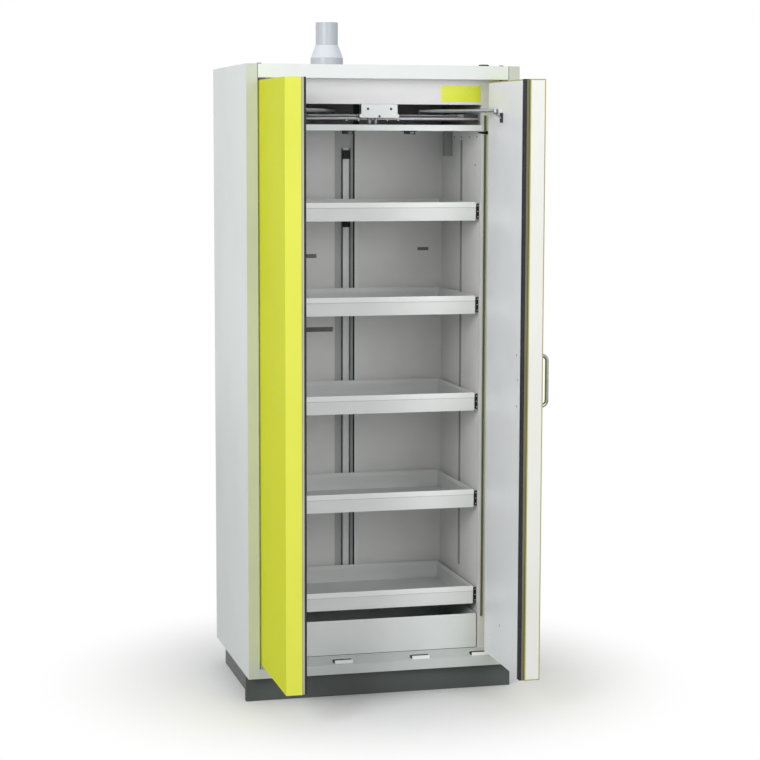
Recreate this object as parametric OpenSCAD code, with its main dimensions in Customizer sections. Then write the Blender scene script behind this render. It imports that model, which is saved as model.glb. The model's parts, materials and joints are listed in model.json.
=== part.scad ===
// Safety cabinet for reagents: two insulated doors, five pull-out trays and a spill sump.
// X runs across the cabinet, Y from the front to the back and Z up from the floor.

/* [Body] */
// Width over the side panels
body_w = 893; // [860:1:1100]
// Depth from the front edge to the rear panel
body_d = 600; // [580:1:750]
// Height of the top panel above the floor
body_h = 2043; // [2020:1:2200]
// Thickness of the folded sheet steel
sheet_t = 1.5; // [1:0.1:2]
// Width of the front edge of a side panel
side_edge_w = 37; // [32:1:50]
// Height of the fascia above the doors
fascia_h = 43; // [30:1:60]
// Depth of the rebate that the closed doors lie in
rebate_d = 66; // [66:1:72]
// Thickness of a side wall, from the side panel to the lining
side_wall_t = 101.5; // [95:0.5:105]
// Thickness of the rear wall
rear_wall_t = 60; // [50:1:70]
// Thickness of the top wall
top_wall_t = 60; // [50:1:70]
// Width of a jamb's lip in front of the side lining
jamb_lip = 5; // [4:0.5:7]
// Depth of the fold behind a jamb
jamb_fold = 20; // [12:1:22]
// Width of a jamb seal
jamb_seal_w = 5; // [3:0.5:8]
// Thickness of a jamb seal
jamb_seal_t = 6; // [2:0.5:6.5]
// Distance of a jamb seal from the inner edge of its jamb
jamb_seal_inset = 8; // [4:0.5:15]
// Length of a jamb seal below its catch block
jamb_seal_h = 1590; // [1500:10:1650]
// Length of a jamb seal above its catch block
jamb_seal_top = 50; // [20:5:80]
// Gap between neighbouring boards
board_play = 0.4; // [0.2:0.1:0.8]

/* [Plinth] */
// Height of the plinth
plinth_h = 84; // [70:1:120]
// Thickness of the plinth's sheet
plinth_t = 2; // [1.5:0.5:4]
// Setback of the plinth's front panel
plinth_recess = 46; // [30:1:60]
// Setback of the plinth's side rails
plinth_side_inset = 24; // [15:1:40]
// Setback of the plinth's rear rail
plinth_rear_inset = 38; // [20:1:60]
// Width of the flanges of the plinth's rails
plinth_flange_w = 40; // [25:1:50]
// Gap between the plinth's rails
plinth_play = 0.3; // [0.2:0.1:0.6]
// Depth of the front panel's returns
plinth_return = 20; // [10:1:40]
// Radius of a levelling foot's pad
foot_r = 22; // [15:1:24]
// Height of a levelling foot's pad
foot_h = 12; // [8:1:20]
// Radius of a levelling foot's spindle
spindle_r = 6; // [4:0.5:8]
// Distance of a levelling foot from the plinth's side rail
foot_inset_x = 75; // [75:1:110]
// Distance of a levelling foot from the plinth's front panel and rear rail
foot_inset_y = 75; // [75:1:110]

/* [Sill and floor] */
// Height of the sill's front face
sill_h = 31; // [25:1:40]
// Rise of the sill from its front edge to the floor plate
sill_rise = 14; // [8:1:18]
// Width of a run-on block
run_on_w = 60; // [30:1:66]
// Depth of a run-on block
run_on_d = 22; // [15:1:30]
// Distance of the run-on blocks from the front
run_on_y = 8; // [4:1:20]
// Clearance of the run-on blocks under the doors
run_on_play = 3; // [1:0.5:5]
// Distance of the inner run-on blocks from the middle
run_on_inner_x = 130; // [80:1:180]
// Distance of the outer run-on blocks' middles from the jambs' inner edges
run_on_outer_inset = 6; // [0:1:40]

/* [Lining] */
// Thickness of the side lining and the floor plate
lining_t = 2; // [1.5:0.5:4]
// Thickness of the rear boards
board_t = 8; // [6:1:12]
// Width of the seam between the front and rear side linings
seam_w = 3; // [2:0.5:5]
// Distance of that seam from the front
seam_y = 310; // [250:5:400]
// Width of the duct strip in the rear wall
strip_w = 67; // [45:1:80]
// Distance of the duct strip's middle to the left of the cabinet's middle
strip_x = 4.5; // [0:0.5:12]
// Thickness of the duct strip
strip_t = 2; // [1:0.5:4]
// Width of the post beside the duct strip
post_w = 18; // [12:1:30]
// Depth of the post in front of the rear boards
post_stand = 8; // [4:1:15]
// Width of the suction rail on the duct strip
suction_w = 29; // [26:1:32]
// Distance of the suction rail's middle to the right of the cabinet's middle
suction_x = 1.5; // [0:0.5:3]
// Depth of the suction rail
suction_d = 10; // [6:1:14]
// Wall of the suction rail
suction_t = 2; // [1:0.5:3]
// Distance of the suction rail's top below the shelf
suction_drop = 57; // [30:1:100]
// Height of the suction rail's lower end above the floor plate
suction_lift = 200; // [150:5:300]
// Width of a rail clip
clip_w = 20; // [14:1:21]
// Height of a rail clip
clip_h = 30; // [20:1:40]
// Depth of a rail clip in front of the suction rail
clip_stand = 3; // [2:0.5:6]
// Distance of a rail clip below the rail's top
clip_drop = 7; // [4:1:20]
// Width of the air duct on the right wall
duct_w = 28; // [20:1:40]
// Depth of the air duct
duct_d = 20; // [10:1:40]
// Distance of the air duct from the rear wall
duct_back = 100; // [60:1:120]
// Height of the air duct below the shelf
duct_h = 83; // [60:1:120]

/* [Doors] */
// Opening angle of the doors
door_open = 90; // [0:1:110]
// Gap between a door and the side panel's edge
door_side_gap = 2.5; // [2.5:0.5:4]
// Gap between the two closed doors
door_mid_gap = 4; // [4:0.5:7]
// Gap between the doors and the fascia
door_top_gap = 8; // [5:0.5:12]
// Gap between the doors and the level of the floor plate
door_floor_gap = 1; // [1:0.5:5]
// Depth of a door's shell
shell_d = 50; // [40:1:52]
// Thickness of a door's shell
shell_t = 1.2; // [0.8:0.1:1.5]
// Thickness of a door's inner plate
plate_t = 8.5; // [5:0.5:9]
// Setback of the inner plate at the hinge edge
plate_hinge_inset = 7; // [5:1:12]
// Setback of the inner plate at the free edge
plate_free_inset = 4; // [3:1:20]
// Width of the meeting seal
seal_w = 24; // [15:1:30]
// Thickness of the meeting seal
seal_t = 7.2; // [3:0.1:7.2]
// Thickness of the right door's edge plate
edge_plate_t = 0.8; // [0.5:0.1:1]
// Border left around the right door's edge plate
edge_plate_border = 3.5; // [1:0.5:6]

/* [Hinges] */
// Distance of the hinge axis from the door's hinge edge
hinge_inset = 9; // [8:0.5:9]
// Distance of the hinge axis behind the door's outer face
hinge_depth = 6; // [5.5:0.1:6.5]
// Radius of a hinge pin
pin_r = 4; // [3:0.25:4]
// Radial clearance of a hinge pin in its block
pin_play = 0.05; // [0.02:0.01:0.1]
// Radial clearance of a hinge pin in the sheet of the shell
sheet_play = 0.6; // [0.3:0.1:0.7]
// Length of a hinge pin inside the door
pin_reach = 26; // [15:1:28]
// Width of a pivot block
pivot_block_w = 22; // [16:1:30]
// Depth of a pivot block
pivot_block_d = 24; // [16:1:30]
// Height of a pivot block
pivot_block_h = 30; // [30:1:40]
// Clearance between a door and its hinge brackets
bracket_play = 0.3; // [0.2:0.1:0.6]
// Setback of the hinge brackets
bracket_setback = 0.5; // [0:0.1:1.5]

/* [Handle] */
// Length of the handle over its legs
handle_len = 170; // [120:5:240]
// Projection of the handle from the door
handle_stand = 40; // [30:1:41]
// Radius of the handle's bar
handle_r = 6; // [4:0.5:7]
// Bend radius of the handle's bar, on its middle line
handle_bend = 18; // [14:1:22]
// Radius of the rosette under each leg
rosette_r = 10; // [8:0.5:14]
// Height of the rosettes
rosette_h = 3; // [2:0.5:5]
// Distance of the handle from the door's free edge
handle_inset = 63; // [60:1:110]
// Height of the handle's middle above the floor
handle_z = 1065; // [950:1:1200]

/* [Closing mechanism] */
// Height of the cover plate below the fascia
cover_h = 79; // [60:1:90]
// Depth of the cover plate's bottom flange
cover_flange = 26; // [24:1:40]
// Height of the slot that the closer arms work in
slot_h = 65; // [60:1:80]
// Height of the mechanism shelf's front edge
shelf_edge_h = 19; // [15:1:20]
// Setback of the shelf behind the jambs
shelf_setback = 4; // [2:1:8]
// Distance of the closer arms below the cover plate
arm_drop = 21; // [18:1:24]
// Length of a closer arm between its pivot and its roller
arm_len = 278; // [270:1:280]
// Radius of a closer arm
arm_r = 5.5; // [4:0.5:6]
// Radius of a closer arm's eye
eye_r = 6.5; // [5.5:0.25:7]
// Radius of an arm's pivot pin
arm_pin_r = 3; // [2:0.25:3.5]
// Radial clearance of an arm's pivot pin
arm_pin_play = 0.05; // [0.02:0.01:0.1]
// Distance of an arm's pivot from the hinge axis, along the door
pivot_along = 106; // [104:1:112]
// Distance of an arm's pivot from the door's inner plate
pivot_stand = 10.5; // [10.5:0.25:13]
// Thickness of an arm bracket
bracket_t = 3; // [2:0.5:3.5]
// Width of an arm bracket
bracket_w = 40; // [25:1:50]
// Height of an arm bracket
bracket_h = 44; // [30:1:46]
// Height that an arm's eyes stand past its bar
eye_rise = 0.5; // [0.3:0.1:0.8]
// Thickness of an arm's roller
roller_h = 3; // [2:0.5:5]
// Gap between a roller and its arm
roller_play = 0.2; // [0.1:0.1:0.3]
// Running clearance of rollers and arms in height
arm_play = 0.4; // [0.3:0.1:0.8]
// Distance of the guide rail's middle from the front
rail_y = 100; // [98:1:104]
// Depth of the guide rail
rail_d = 24; // [20:1:26]
// Height of the guide rail
rail_h = 22; // [18:1:24]
// Depth of the groove along the guide rail's front
groove_d = 4; // [2:0.5:8]
// Height of that groove
groove_h = 6; // [3:0.5:8]
// Distance of that groove above the rail's lower edge
groove_lift = 6.6; // [5:0.2:8]
// Length of a rail end bracket
rail_end_w = 10; // [8:1:20]
// Radius of a closer damper
damper_r = 4.8; // [3:0.2:4.8]
// Length of a closer damper
damper_len = 196; // [150:1:220]
// Gap between a closer damper and the guide rail
damper_play = 0.2; // [0.1:0.1:0.3]
// Gap between a closer damper and the centre bracket
damper_gap = 2; // [1:0.5:5]
// Width of the centre bracket
centre_w = 119; // [90:1:130]
// Height of the centre bracket
centre_h = 43; // [40:1:46]
// Thickness of the centre bracket
centre_t = 3; // [2:0.5:4]
// Setback of the centre bracket behind the cover plate
centre_setback = 2; // [1:0.5:3]
// Radius of an ear on the centre bracket
ear_r = 6; // [4:0.5:7]
// Radius of the holes in the centre bracket
centre_hole_r = 2.6; // [2:0.1:3.5]
// Distance of the bracket's upper holes from the middle
centre_hole_x = 38; // [25:1:45]
// Distance of the bracket's upper holes below the cover plate
centre_hole_drop = 15; // [8:1:18]
// Distance of the bracket's lower hole above its bottom edge
centre_hole_lift = 4.5; // [4:0.5:8]
// Distance of the bracket's bolts from the middle
centre_bolt_x = 49; // [42:1:52]
// Radius of a bracket bolt's shank
bolt_r = 2.5; // [2:0.25:3]
// Radial clearance of the bracket bolts
bolt_play = 0.1; // [0.05:0.05:0.3]
// Radius of a bracket bolt's head
bolt_head_r = 5; // [4:0.25:6]
// Height of a bracket bolt's head
bolt_head_h = 2.5; // [2:0.25:4]
// Distance of the bracket's bolts below the top of the guide rail
centre_bolt_drop = 4; // [3.5:0.5:5]
// Length of the thermal release link
release_w = 38; // [24:1:40]
// Height of the thermal release link
release_h = 12; // [8:0.5:14]
// Depth of the thermal release link
release_d = 8; // [5:0.5:10]
// Distance of that link's middle to the left of the cabinet's middle
release_x = 18; // [0:1:40]
// Gap between the centre bracket and that link
release_gap = 1; // [0.5:0.5:2]
// Width of a catch block
catch_w = 36; // [24:1:44]
// Height of a catch block
catch_h = 11; // [8:1:16]
// Depth of a catch block under the shelf
catch_d = 16; // [10:1:24]
// Thickness of a catch block on a jamb
catch_jamb_t = 6; // [4:0.5:6.5]
// Width of a catch block on a jamb
catch_jamb_w = 32; // [20:1:40]
// Reach of that block past the jamb's inner edge
catch_jamb_reach = 12; // [4:1:16]
// Distance of the inner catch blocks from the middle
catch_inner_x = 102; // [60:1:160]

/* [Trays] */
// Gap between a tray's side and the side lining, which holds the runners
tray_side_gap = 15; // [15:0.5:18]
// Gap between a tray and the rear wall
tray_rear_gap = 15; // [12:1:40]
// Height of a tray's walls
tray_h = 60; // [50:1:80]
// Height of the folded band along a tray's front
tray_band_h = 17; // [10:1:25]
// Stand of that band in front of the tray
tray_band_t = 2; // [1:0.5:4]
// Distance of the trays from the front
tray_y = 90; // [88:1:96]
// Distance of the top tray's upper edge below the shelf
tray_1_drop = 230; // [200:1:260]
// Height of the second tray above its place in an even row
tray_2_lift = 13; // [-20:0.5:20]
// Height of the third tray above its place in an even row
tray_3_lift = 11.5; // [-20:0.5:20]
// Height of the fourth tray above its place in an even row
tray_4_lift = 7; // [-20:0.5:20]
// Gap between the bottom tray and the sump
tray_5_gap = 29; // [15:1:60]
// Distance that a runner ends short of its tray's rear
runner_short = 5; // [2:1:40]
// Height of a runner's outer member
runner_h = 45; // [35:1:48]
// Sheet thickness of the runners
runner_t = 1.2; // [1:0.1:1.4]
// Gap between the runner's members
runner_play = 0.6; // [0.4:0.1:0.8]
// Gap between a tray and its inner members
tray_play = 0.2; // [0.1:0.1:0.4]
// Depth of a runner's middle member, across the cabinet
middle_depth = 5.8; // [5:0.1:5.8]
// Depth of a runner's inner member, across the cabinet
inner_depth = 4.2; // [3:0.1:4.2]

/* [Sump] */
// Gap between the sump's side and the side lining
sump_side_gap = 9; // [8:0.5:20]
// Height of the sump
sump_h = 116; // [90:1:125]
// Distance of the sump from the front
sump_y = 70; // [69:1:85]
// Gap between the sump and the rear wall
sump_rear_gap = 10; // [5:1:40]
// Clearance of the sump over the floor plate
sump_play = 0.3; // [0.3:0.1:0.6]

/* [Exhaust] */
// Outer radius of the exhaust spigot
spigot_r = 37.5; // [30:0.5:50]
// Length of the spigot's straight end
spigot_len = 75; // [50:1:100]
// Outer radius of the collar under the spigot
collar_r = 55; // [52:0.5:70]
// Height of the collar
collar_h = 37; // [30:1:60]
// Height of the cone between collar and spigot
cone_h = 43; // [30:1:70]
// Wall of the spigot
spigot_t = 1.5; // [1:0.1:3]
// Radius of the spigot's flange
flange_r = 75; // [72:1:90]
// Thickness of the spigot's flange
flange_t = 2; // [1:0.5:4]
// Distance of the spigot to the left of the middle
spigot_x = 75; // [0:1:150]
// Distance of the spigot from the rear
spigot_back = 100; // [92:1:200]
// Radius of the cap on the top
cap_r = 17; // [10:1:25]
// Height of the cap
cap_h = 6; // [5:1:15]
// Distance of the cap from the front
cap_y = 40; // [30:1:60]
// Distance of the cap from the right side
cap_inset = 108.5; // [80:0.5:140]
// Radius of a top plug
plug_r = 7; // [4:0.5:10]
// Height of a top plug
plug_h = 3.5; // [2:0.5:6]
// Distance of a top plug from the side
plug_inset = 50; // [30:1:70]

/* [Hidden] */
$fn = 64;

// Overlap of a cutting shape past the face that it cuts
cut = 1;

// Body, measured from the middle and from the front edge
half_w = body_w / 2;
edge_x = half_w - side_edge_w;
wall_x = half_w - side_wall_t;
jamb_x = wall_x - jamb_lip;
rear_y = body_d - rear_wall_t;
back_of_boards = rear_y + board_t;
behind_jamb = rebate_d + sheet_t;
ceiling_z = body_h - top_wall_t;
fascia_z = body_h - fascia_h;
sill_z = plinth_h + sill_h;
floor_z = sill_z + sill_rise;
cover_z = fascia_z - cover_h;
slot_z = cover_z - slot_h;
shelf_z = slot_z - shelf_edge_h;
plinth_x = half_w - plinth_side_inset;
plinth_back = body_d - plinth_rear_inset;

// Doors, drawn closed
door_x = edge_x - door_side_gap;
door_z = floor_z + door_floor_gap;
door_top = fascia_z - door_top_gap;
free_x = door_mid_gap / 2;
plate_back = shell_d + plate_t;
hinge_x = door_x - hinge_inset;

// Closer arms
arm_z = cover_z - arm_drop;
arm_half_h = arm_r + eye_rise;
pivot_x = hinge_x - pivot_along;
pivot_y = plate_back + pivot_stand;
pivot_dy = pivot_y - hinge_depth;
pivot_open_x = -hinge_x + pivot_along * cos(door_open) + pivot_dy * sin(door_open);
pivot_open_y = hinge_depth - pivot_along * sin(door_open) + pivot_dy * cos(door_open);
arm_angle = asin((rail_y - pivot_open_y) / arm_len);
lug_top = arm_z - arm_half_h - arm_play;
roller_drop = arm_half_h + roller_play + roller_h;
rail_top = arm_z - roller_drop - arm_play;
rail_z = rail_top - rail_h;
rail_front = rail_y - rail_d / 2;
rail_x = wall_x - rail_end_w;
damper_y = rail_front - damper_r - damper_play;
damper_z = rail_top - damper_r;
centre_y = behind_jamb + centre_setback;
centre_bottom = cover_z - centre_h;
ear_x = centre_w / 2 + ear_r;
bolt_z = rail_top - centre_bolt_drop;

// Trays, sump and runners
tray_1_top = shelf_z - tray_1_drop;
tray_5_top = floor_z + sump_h + tray_5_gap + tray_h;
tray_pitch = (tray_1_top - tray_5_top) / 4;
tray_2_top = tray_1_top - tray_pitch + tray_2_lift;
tray_3_top = tray_1_top - 2 * tray_pitch + tray_3_lift;
tray_4_top = tray_1_top - 3 * tray_pitch + tray_4_lift;
tray_tops = [tray_1_top, tray_2_top, tray_3_top, tray_4_top, tray_5_top];
tray_x = wall_x - tray_side_gap;
tray_back = rear_y - tray_rear_gap;
runner_len = tray_back - runner_short - tray_y;
sump_x = wall_x - sump_side_gap;
sump_back = rear_y - sump_rear_gap;
inner_h = runner_h - 4 * (runner_t + runner_play);
middle_h = runner_h - 2 * (runner_t + runner_play);
middle_x = tray_x + tray_play + runner_t + runner_play;
outer_depth = wall_x - middle_x - runner_play;

// Everything is drawn with the front edge at Y = 0 and then centred over its depth
module from_front() {
    translate([0, -body_d / 2, 0]) children();
}

module both_sides() {
    children();
    mirror([1, 0, 0]) children();
}

// A block given by its lowest and highest corners
module block(low, high) {
    translate(low) cube(high - low);
}

// A bar along X with its cross-section drawn in Y and Z
module bar_x(half_len) {
    translate([-half_len, 0, 0])
        rotate([90, 0, 90]) linear_extrude(2 * half_len) children();
}

// A bar along Y with its cross-section drawn in X and Z
module bar_y(from_y, length) {
    translate([0, from_y + length, 0])
        rotate([90, 0, 0]) linear_extrude(length) children();
}

// A channel's cross-section: its web stands at the origin and its flanges point to +X
module channel(depth, height, wall) {
    polygon([
        [0, -height / 2], [depth, -height / 2], [depth, -height / 2 + wall],
        [wall, -height / 2 + wall], [wall, height / 2 - wall],
        [depth, height / 2 - wall], [depth, height / 2], [0, height / 2]
    ]);
}

// Turns pieces of the closed left door to its opening angle
module hung_left() {
    from_front()
        translate([-hinge_x, hinge_depth, 0]) rotate([0, 0, -door_open])
        translate([hinge_x, -hinge_depth, 0]) children();
}

module hung_right() {
    mirror([1, 0, 0]) hung_left() children();
}

// ---- Plinth

module plinth_front_panel() {
    color("dimgray") from_front() difference() {
        block([-half_w, plinth_recess, 0], [half_w, plinth_recess + plinth_return, plinth_h]);
        block(
            [-half_w + plinth_t, plinth_recess + plinth_t, -cut],
            [half_w - plinth_t, plinth_recess + plinth_return + cut, plinth_h + cut]
        );
    }
}

module plinth_rails() {
    front_end = plinth_recess + plinth_t;
    side_len = plinth_back - front_end;
    cross_len = plinth_x - plinth_flange_w - plinth_play;
    color("gray") from_front() {
        both_sides()
            translate([-plinth_x, 0, plinth_h / 2])
            bar_y(front_end, side_len) channel(plinth_flange_w, plinth_h, plinth_t);
        translate([0, plinth_back, plinth_h / 2])
            bar_x(cross_len) mirror([1, 0]) channel(plinth_flange_w, plinth_h, plinth_t);
        translate([0, body_d / 2 + plinth_flange_w / 2, plinth_h / 2])
            bar_x(cross_len) mirror([1, 0]) channel(plinth_flange_w, plinth_h, plinth_t);
    }
}

module levelling_foot() {
    cylinder(r = foot_r, h = foot_h);
    cylinder(r = spindle_r, h = plinth_h);
}

module levelling_feet() {
    color("darkgray") from_front() both_sides()
        for (y = [plinth_recess + foot_inset_y, plinth_back - foot_inset_y])
            translate([plinth_x - foot_inset_x, y, 0]) levelling_foot();
}

// ---- Outer casing

module base_pan() {
    color("lightgray") from_front()
        block(
            [-half_w + sheet_t, sheet_t, plinth_h],
            [half_w - sheet_t, body_d - sheet_t, plinth_h + sheet_t]
        );
}

module front_sill() {
    color("gainsboro") from_front()
        bar_x(edge_x) polygon([
            [0, plinth_h], [sheet_t, plinth_h], [sheet_t, sill_z - sheet_t],
            [rebate_d, floor_z - sheet_t], [rebate_d, floor_z], [0, sill_z]
        ]);
}

module side_panel() {
    block([half_w - sheet_t, 0, plinth_h], [half_w, body_d, body_h]);
    block([edge_x, 0, plinth_h], [half_w, sheet_t, body_h]);
    block(
        [edge_x, 0, plinth_h + sheet_t],
        [edge_x + sheet_t, behind_jamb, body_h - sheet_t]
    );
}

module side_panel_left() {
    color("gainsboro") mirror([1, 0, 0]) from_front() side_panel();
}

module side_panel_right() {
    color("gainsboro") from_front() side_panel();
}

module top_panel() {
    color("gainsboro") from_front() difference() {
        union() {
            block(
                [-half_w + sheet_t, sheet_t, body_h - sheet_t],
                [half_w - sheet_t, body_d - sheet_t, body_h]
            );
            block([-edge_x, 0, fascia_z], [edge_x, sheet_t, body_h]);
            block([-edge_x, 0, fascia_z], [edge_x, behind_jamb, fascia_z + sheet_t]);
        }
        translate([-spigot_x, body_d - spigot_back, body_h - sheet_t - cut])
            cylinder(r = collar_r - spigot_t, h = sheet_t + 2 * cut);
    }
}

module rear_panel() {
    color("gainsboro") from_front()
        block(
            [-half_w + sheet_t, body_d - sheet_t, plinth_h],
            [half_w - sheet_t, body_d, body_h]
        );
}

// The mineral boards that fill the walls
module insulation_boards() {
    low = sheet_t + plinth_h;
    high = body_h - sheet_t;
    far_y = body_d - sheet_t;
    inner_x = wall_x + lining_t;
    board_x = inner_x - board_play;
    rim_x = edge_x - board_play;
    color("darkgray") from_front() {
        both_sides() union() {
            block([inner_x, behind_jamb, low], [half_w - sheet_t, far_y, high]);
            block([edge_x + sheet_t, sheet_t, low], [half_w - sheet_t, behind_jamb, high]);
        }
        block(
            [-board_x, back_of_boards, low],
            [board_x, far_y, ceiling_z - board_play]
        );
        difference() {
            block([-board_x, behind_jamb, ceiling_z], [board_x, far_y, high]);
            translate([-spigot_x, body_d - spigot_back, ceiling_z - cut])
                cylinder(r = collar_r - spigot_t, h = top_wall_t + 2 * cut);
        }
        block(
            [-rim_x, sheet_t, fascia_z + sheet_t],
            [rim_x, behind_jamb - board_play, high]
        );
        block(
            [-board_x, behind_jamb, low],
            [board_x, back_of_boards - board_play, floor_z - lining_t]
        );
        block([-rim_x, sheet_t, low], [rim_x, rebate_d, sill_z - sheet_t]);
    }
}

// ---- Front frame

module front_jambs() {
    color("gainsboro") from_front() both_sides() {
        union() {
            block(
                [jamb_x, rebate_d, plinth_h + sheet_t],
                [edge_x, behind_jamb, fascia_z]
            );
            block(
                [jamb_x, rebate_d, floor_z],
                [jamb_x + sheet_t, rebate_d + jamb_fold, ceiling_z]
            );
        }
    }
}

// Each seal is parted by the catch block on its jamb
module jamb_seals() {
    seal_x = jamb_x + jamb_seal_inset;
    catch_z = shelf_z - catch_h;
    color("darkolivegreen") from_front() both_sides() {
        block(
            [seal_x, rebate_d - jamb_seal_t, catch_z - jamb_seal_h],
            [seal_x + jamb_seal_w, rebate_d, catch_z]
        );
        block(
            [seal_x, rebate_d - jamb_seal_t, shelf_z],
            [seal_x + jamb_seal_w, rebate_d, shelf_z + jamb_seal_top]
        );
    }
}

// ---- Lining

module side_linings() {
    color("whitesmoke") from_front() both_sides() {
        block(
            [wall_x, behind_jamb, floor_z],
            [wall_x + lining_t, seam_y, ceiling_z]
        );
        block(
            [wall_x, seam_y + seam_w, floor_z],
            [wall_x + lining_t, back_of_boards, ceiling_z]
        );
    }
}

module rear_boards() {
    strip_left = -strip_x - strip_w / 2;
    strip_right = -strip_x + strip_w / 2;
    post_right = strip_right + post_w;
    color("whitesmoke") from_front() {
        block([-wall_x, rear_y, floor_z], [strip_left - board_play, back_of_boards, ceiling_z]);
        block(
            [strip_left, back_of_boards - strip_t, floor_z],
            [strip_right - board_play, back_of_boards, ceiling_z]
        );
        block(
            [strip_right, rear_y - post_stand, floor_z],
            [post_right, back_of_boards, shelf_z]
        );
        block([post_right + board_play, rear_y, floor_z], [wall_x, back_of_boards, ceiling_z]);
    }
}

module floor_plate() {
    color("whitesmoke") from_front() {
        union() {
            block(
                [-wall_x - lining_t, behind_jamb, floor_z - lining_t],
                [wall_x + lining_t, back_of_boards, floor_z]
            );
            block([-jamb_x, rebate_d, floor_z - lining_t], [jamb_x, behind_jamb, floor_z]);
        }
    }
}

module mechanism_shelf() {
    front_y = rebate_d + shelf_setback;
    color("white") from_front() {
        difference() {
            block([-wall_x, front_y, shelf_z], [wall_x, rear_y, shelf_z + lining_t]);
            both_sides()
                block(
                    [jamb_x, front_y - cut, shelf_z - cut],
                    [wall_x + cut, rebate_d + jamb_fold, shelf_z + lining_t + cut]
                );
        }
        block([-jamb_x, front_y, shelf_z], [jamb_x, front_y + lining_t, slot_z]);
    }
}

module air_duct() {
    color("lightgray") from_front()
        block(
            [wall_x - duct_w, rear_y - duct_back - duct_d, shelf_z - duct_h],
            [wall_x, rear_y - duct_back, shelf_z]
        );
}

module suction_rail() {
    rail_front_y = back_of_boards - strip_t;
    bottom = floor_z + suction_lift;
    top = shelf_z - suction_drop;
    color("silver") from_front()
        translate([suction_x, rail_front_y, bottom])
        linear_extrude(top - bottom) polygon([
            [-suction_w / 2, 0], [-suction_w / 2, -suction_d],
            [-suction_w / 2 + suction_t, -suction_d], [-suction_w / 2 + suction_t, -suction_t],
            [suction_w / 2 - suction_t, -suction_t], [suction_w / 2 - suction_t, -suction_d],
            [suction_w / 2, -suction_d], [suction_w / 2, 0]
        ]);
}

module rail_clips() {
    seat_y = back_of_boards - strip_t - suction_t;
    front_y = back_of_boards - strip_t - suction_d - clip_stand;
    top = shelf_z - suction_drop - clip_drop;
    tops = concat([top], [for (i = [0:3]) tray_tops[i] - tray_h - clip_drop]);
    color("black") from_front()
        for (z = tops)
            block([suction_x - clip_w / 2, front_y, z - clip_h], [suction_x + clip_w / 2, seat_y, z]);
}

// ---- Closing mechanism

module cover_plate() {
    color("gainsboro") from_front() {
        union() {
            block([-jamb_x, rebate_d, cover_z], [jamb_x, behind_jamb, fascia_z]);
            block(
                [-jamb_x, rebate_d, cover_z],
                [jamb_x, behind_jamb + cover_flange, cover_z + sheet_t]
            );
        }
    }
}

module centre_bracket() {
    color("white") from_front() difference() {
        union() {
            block(
                [-centre_w / 2, centre_y, centre_bottom],
                [centre_w / 2, centre_y + centre_t, cover_z]
            );
            for (side = [-1, 1])
                translate([side * (ear_x - ear_r), centre_y + centre_t, centre_bottom + ear_r])
                    rotate([90, 0, 0]) cylinder(r = ear_r, h = centre_t);
        }
        for (spot = [
            [-centre_hole_x, cover_z - centre_hole_drop],
            [centre_hole_x, cover_z - centre_hole_drop],
            [0, centre_bottom + centre_hole_lift]
        ])
            translate([spot[0], centre_y + centre_t + cut, spot[1]])
                rotate([90, 0, 0]) cylinder(r = centre_hole_r, h = centre_t + 2 * cut);
        for (side = [-1, 1])
            translate([side * centre_bolt_x, centre_y + centre_t + cut, bolt_z])
                rotate([90, 0, 0]) cylinder(r = bolt_r + bolt_play, h = centre_t + 2 * cut);
    }
}

module bracket_bolts() {
    color("silver") from_front() for (side = [-1, 1])
        translate([side * centre_bolt_x, centre_y, bolt_z]) {
            rotate([90, 0, 0]) cylinder(r = bolt_head_r, h = bolt_head_h);
            rotate([-90, 0, 0]) cylinder(r = bolt_r, h = rail_front - centre_y);
        }
}

module guide_rail() {
    groove_z = rail_z + groove_lift;
    color("silver") from_front()
        bar_x(rail_x) polygon([
            [rail_front, rail_z], [rail_front + rail_d, rail_z],
            [rail_front + rail_d, rail_top], [rail_front, rail_top],
            [rail_front, groove_z + groove_h], [rail_front + groove_d, groove_z + groove_h],
            [rail_front + groove_d, groove_z], [rail_front, groove_z]
        ]);
}

module rail_end_brackets() {
    color("white") from_front() both_sides()
        block([rail_x, rail_front, rail_z], [wall_x, rail_front + rail_d, rail_top]);
}

module closer_dampers() {
    start = ear_x + damper_gap;
    color("gray") from_front() both_sides()
        translate([start, damper_y, damper_z])
        rotate([0, 90, 0]) cylinder(r = damper_r, h = damper_len);
}

module thermal_release() {
    top = centre_bottom - release_gap;
    color("silver") from_front()
        block(
            [-release_x - release_w / 2, rail_front - release_d, top - release_h],
            [-release_x + release_w / 2, rail_front, top]
        );
}

module catch_blocks() {
    front_y = rebate_d + shelf_setback;
    color("black") from_front() both_sides() {
        block(
            [catch_inner_x - catch_w / 2, front_y, shelf_z - catch_h],
            [catch_inner_x + catch_w / 2, front_y + catch_d, shelf_z]
        );
        block(
            [jamb_x - catch_jamb_reach, rebate_d - catch_jamb_t, shelf_z - catch_h],
            [jamb_x - catch_jamb_reach + catch_jamb_w, rebate_d, shelf_z]
        );
    }
}

// Ramps that carry the closing doors
module run_on_blocks() {
    outer_x = jamb_x - run_on_outer_inset;
    slope = sill_rise / rebate_d;
    far_y = run_on_y + run_on_d;
    top = door_z - run_on_play;
    color("silver") from_front()
        for (x = [-outer_x, -run_on_inner_x, run_on_inner_x, outer_x])
            translate([x, 0, 0]) bar_x(run_on_w / 2) polygon([
                [run_on_y, sill_z + slope * run_on_y], [far_y, sill_z + slope * far_y],
                [far_y, top], [run_on_y, top]
            ]);
}

// ---- Exhaust and top

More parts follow.
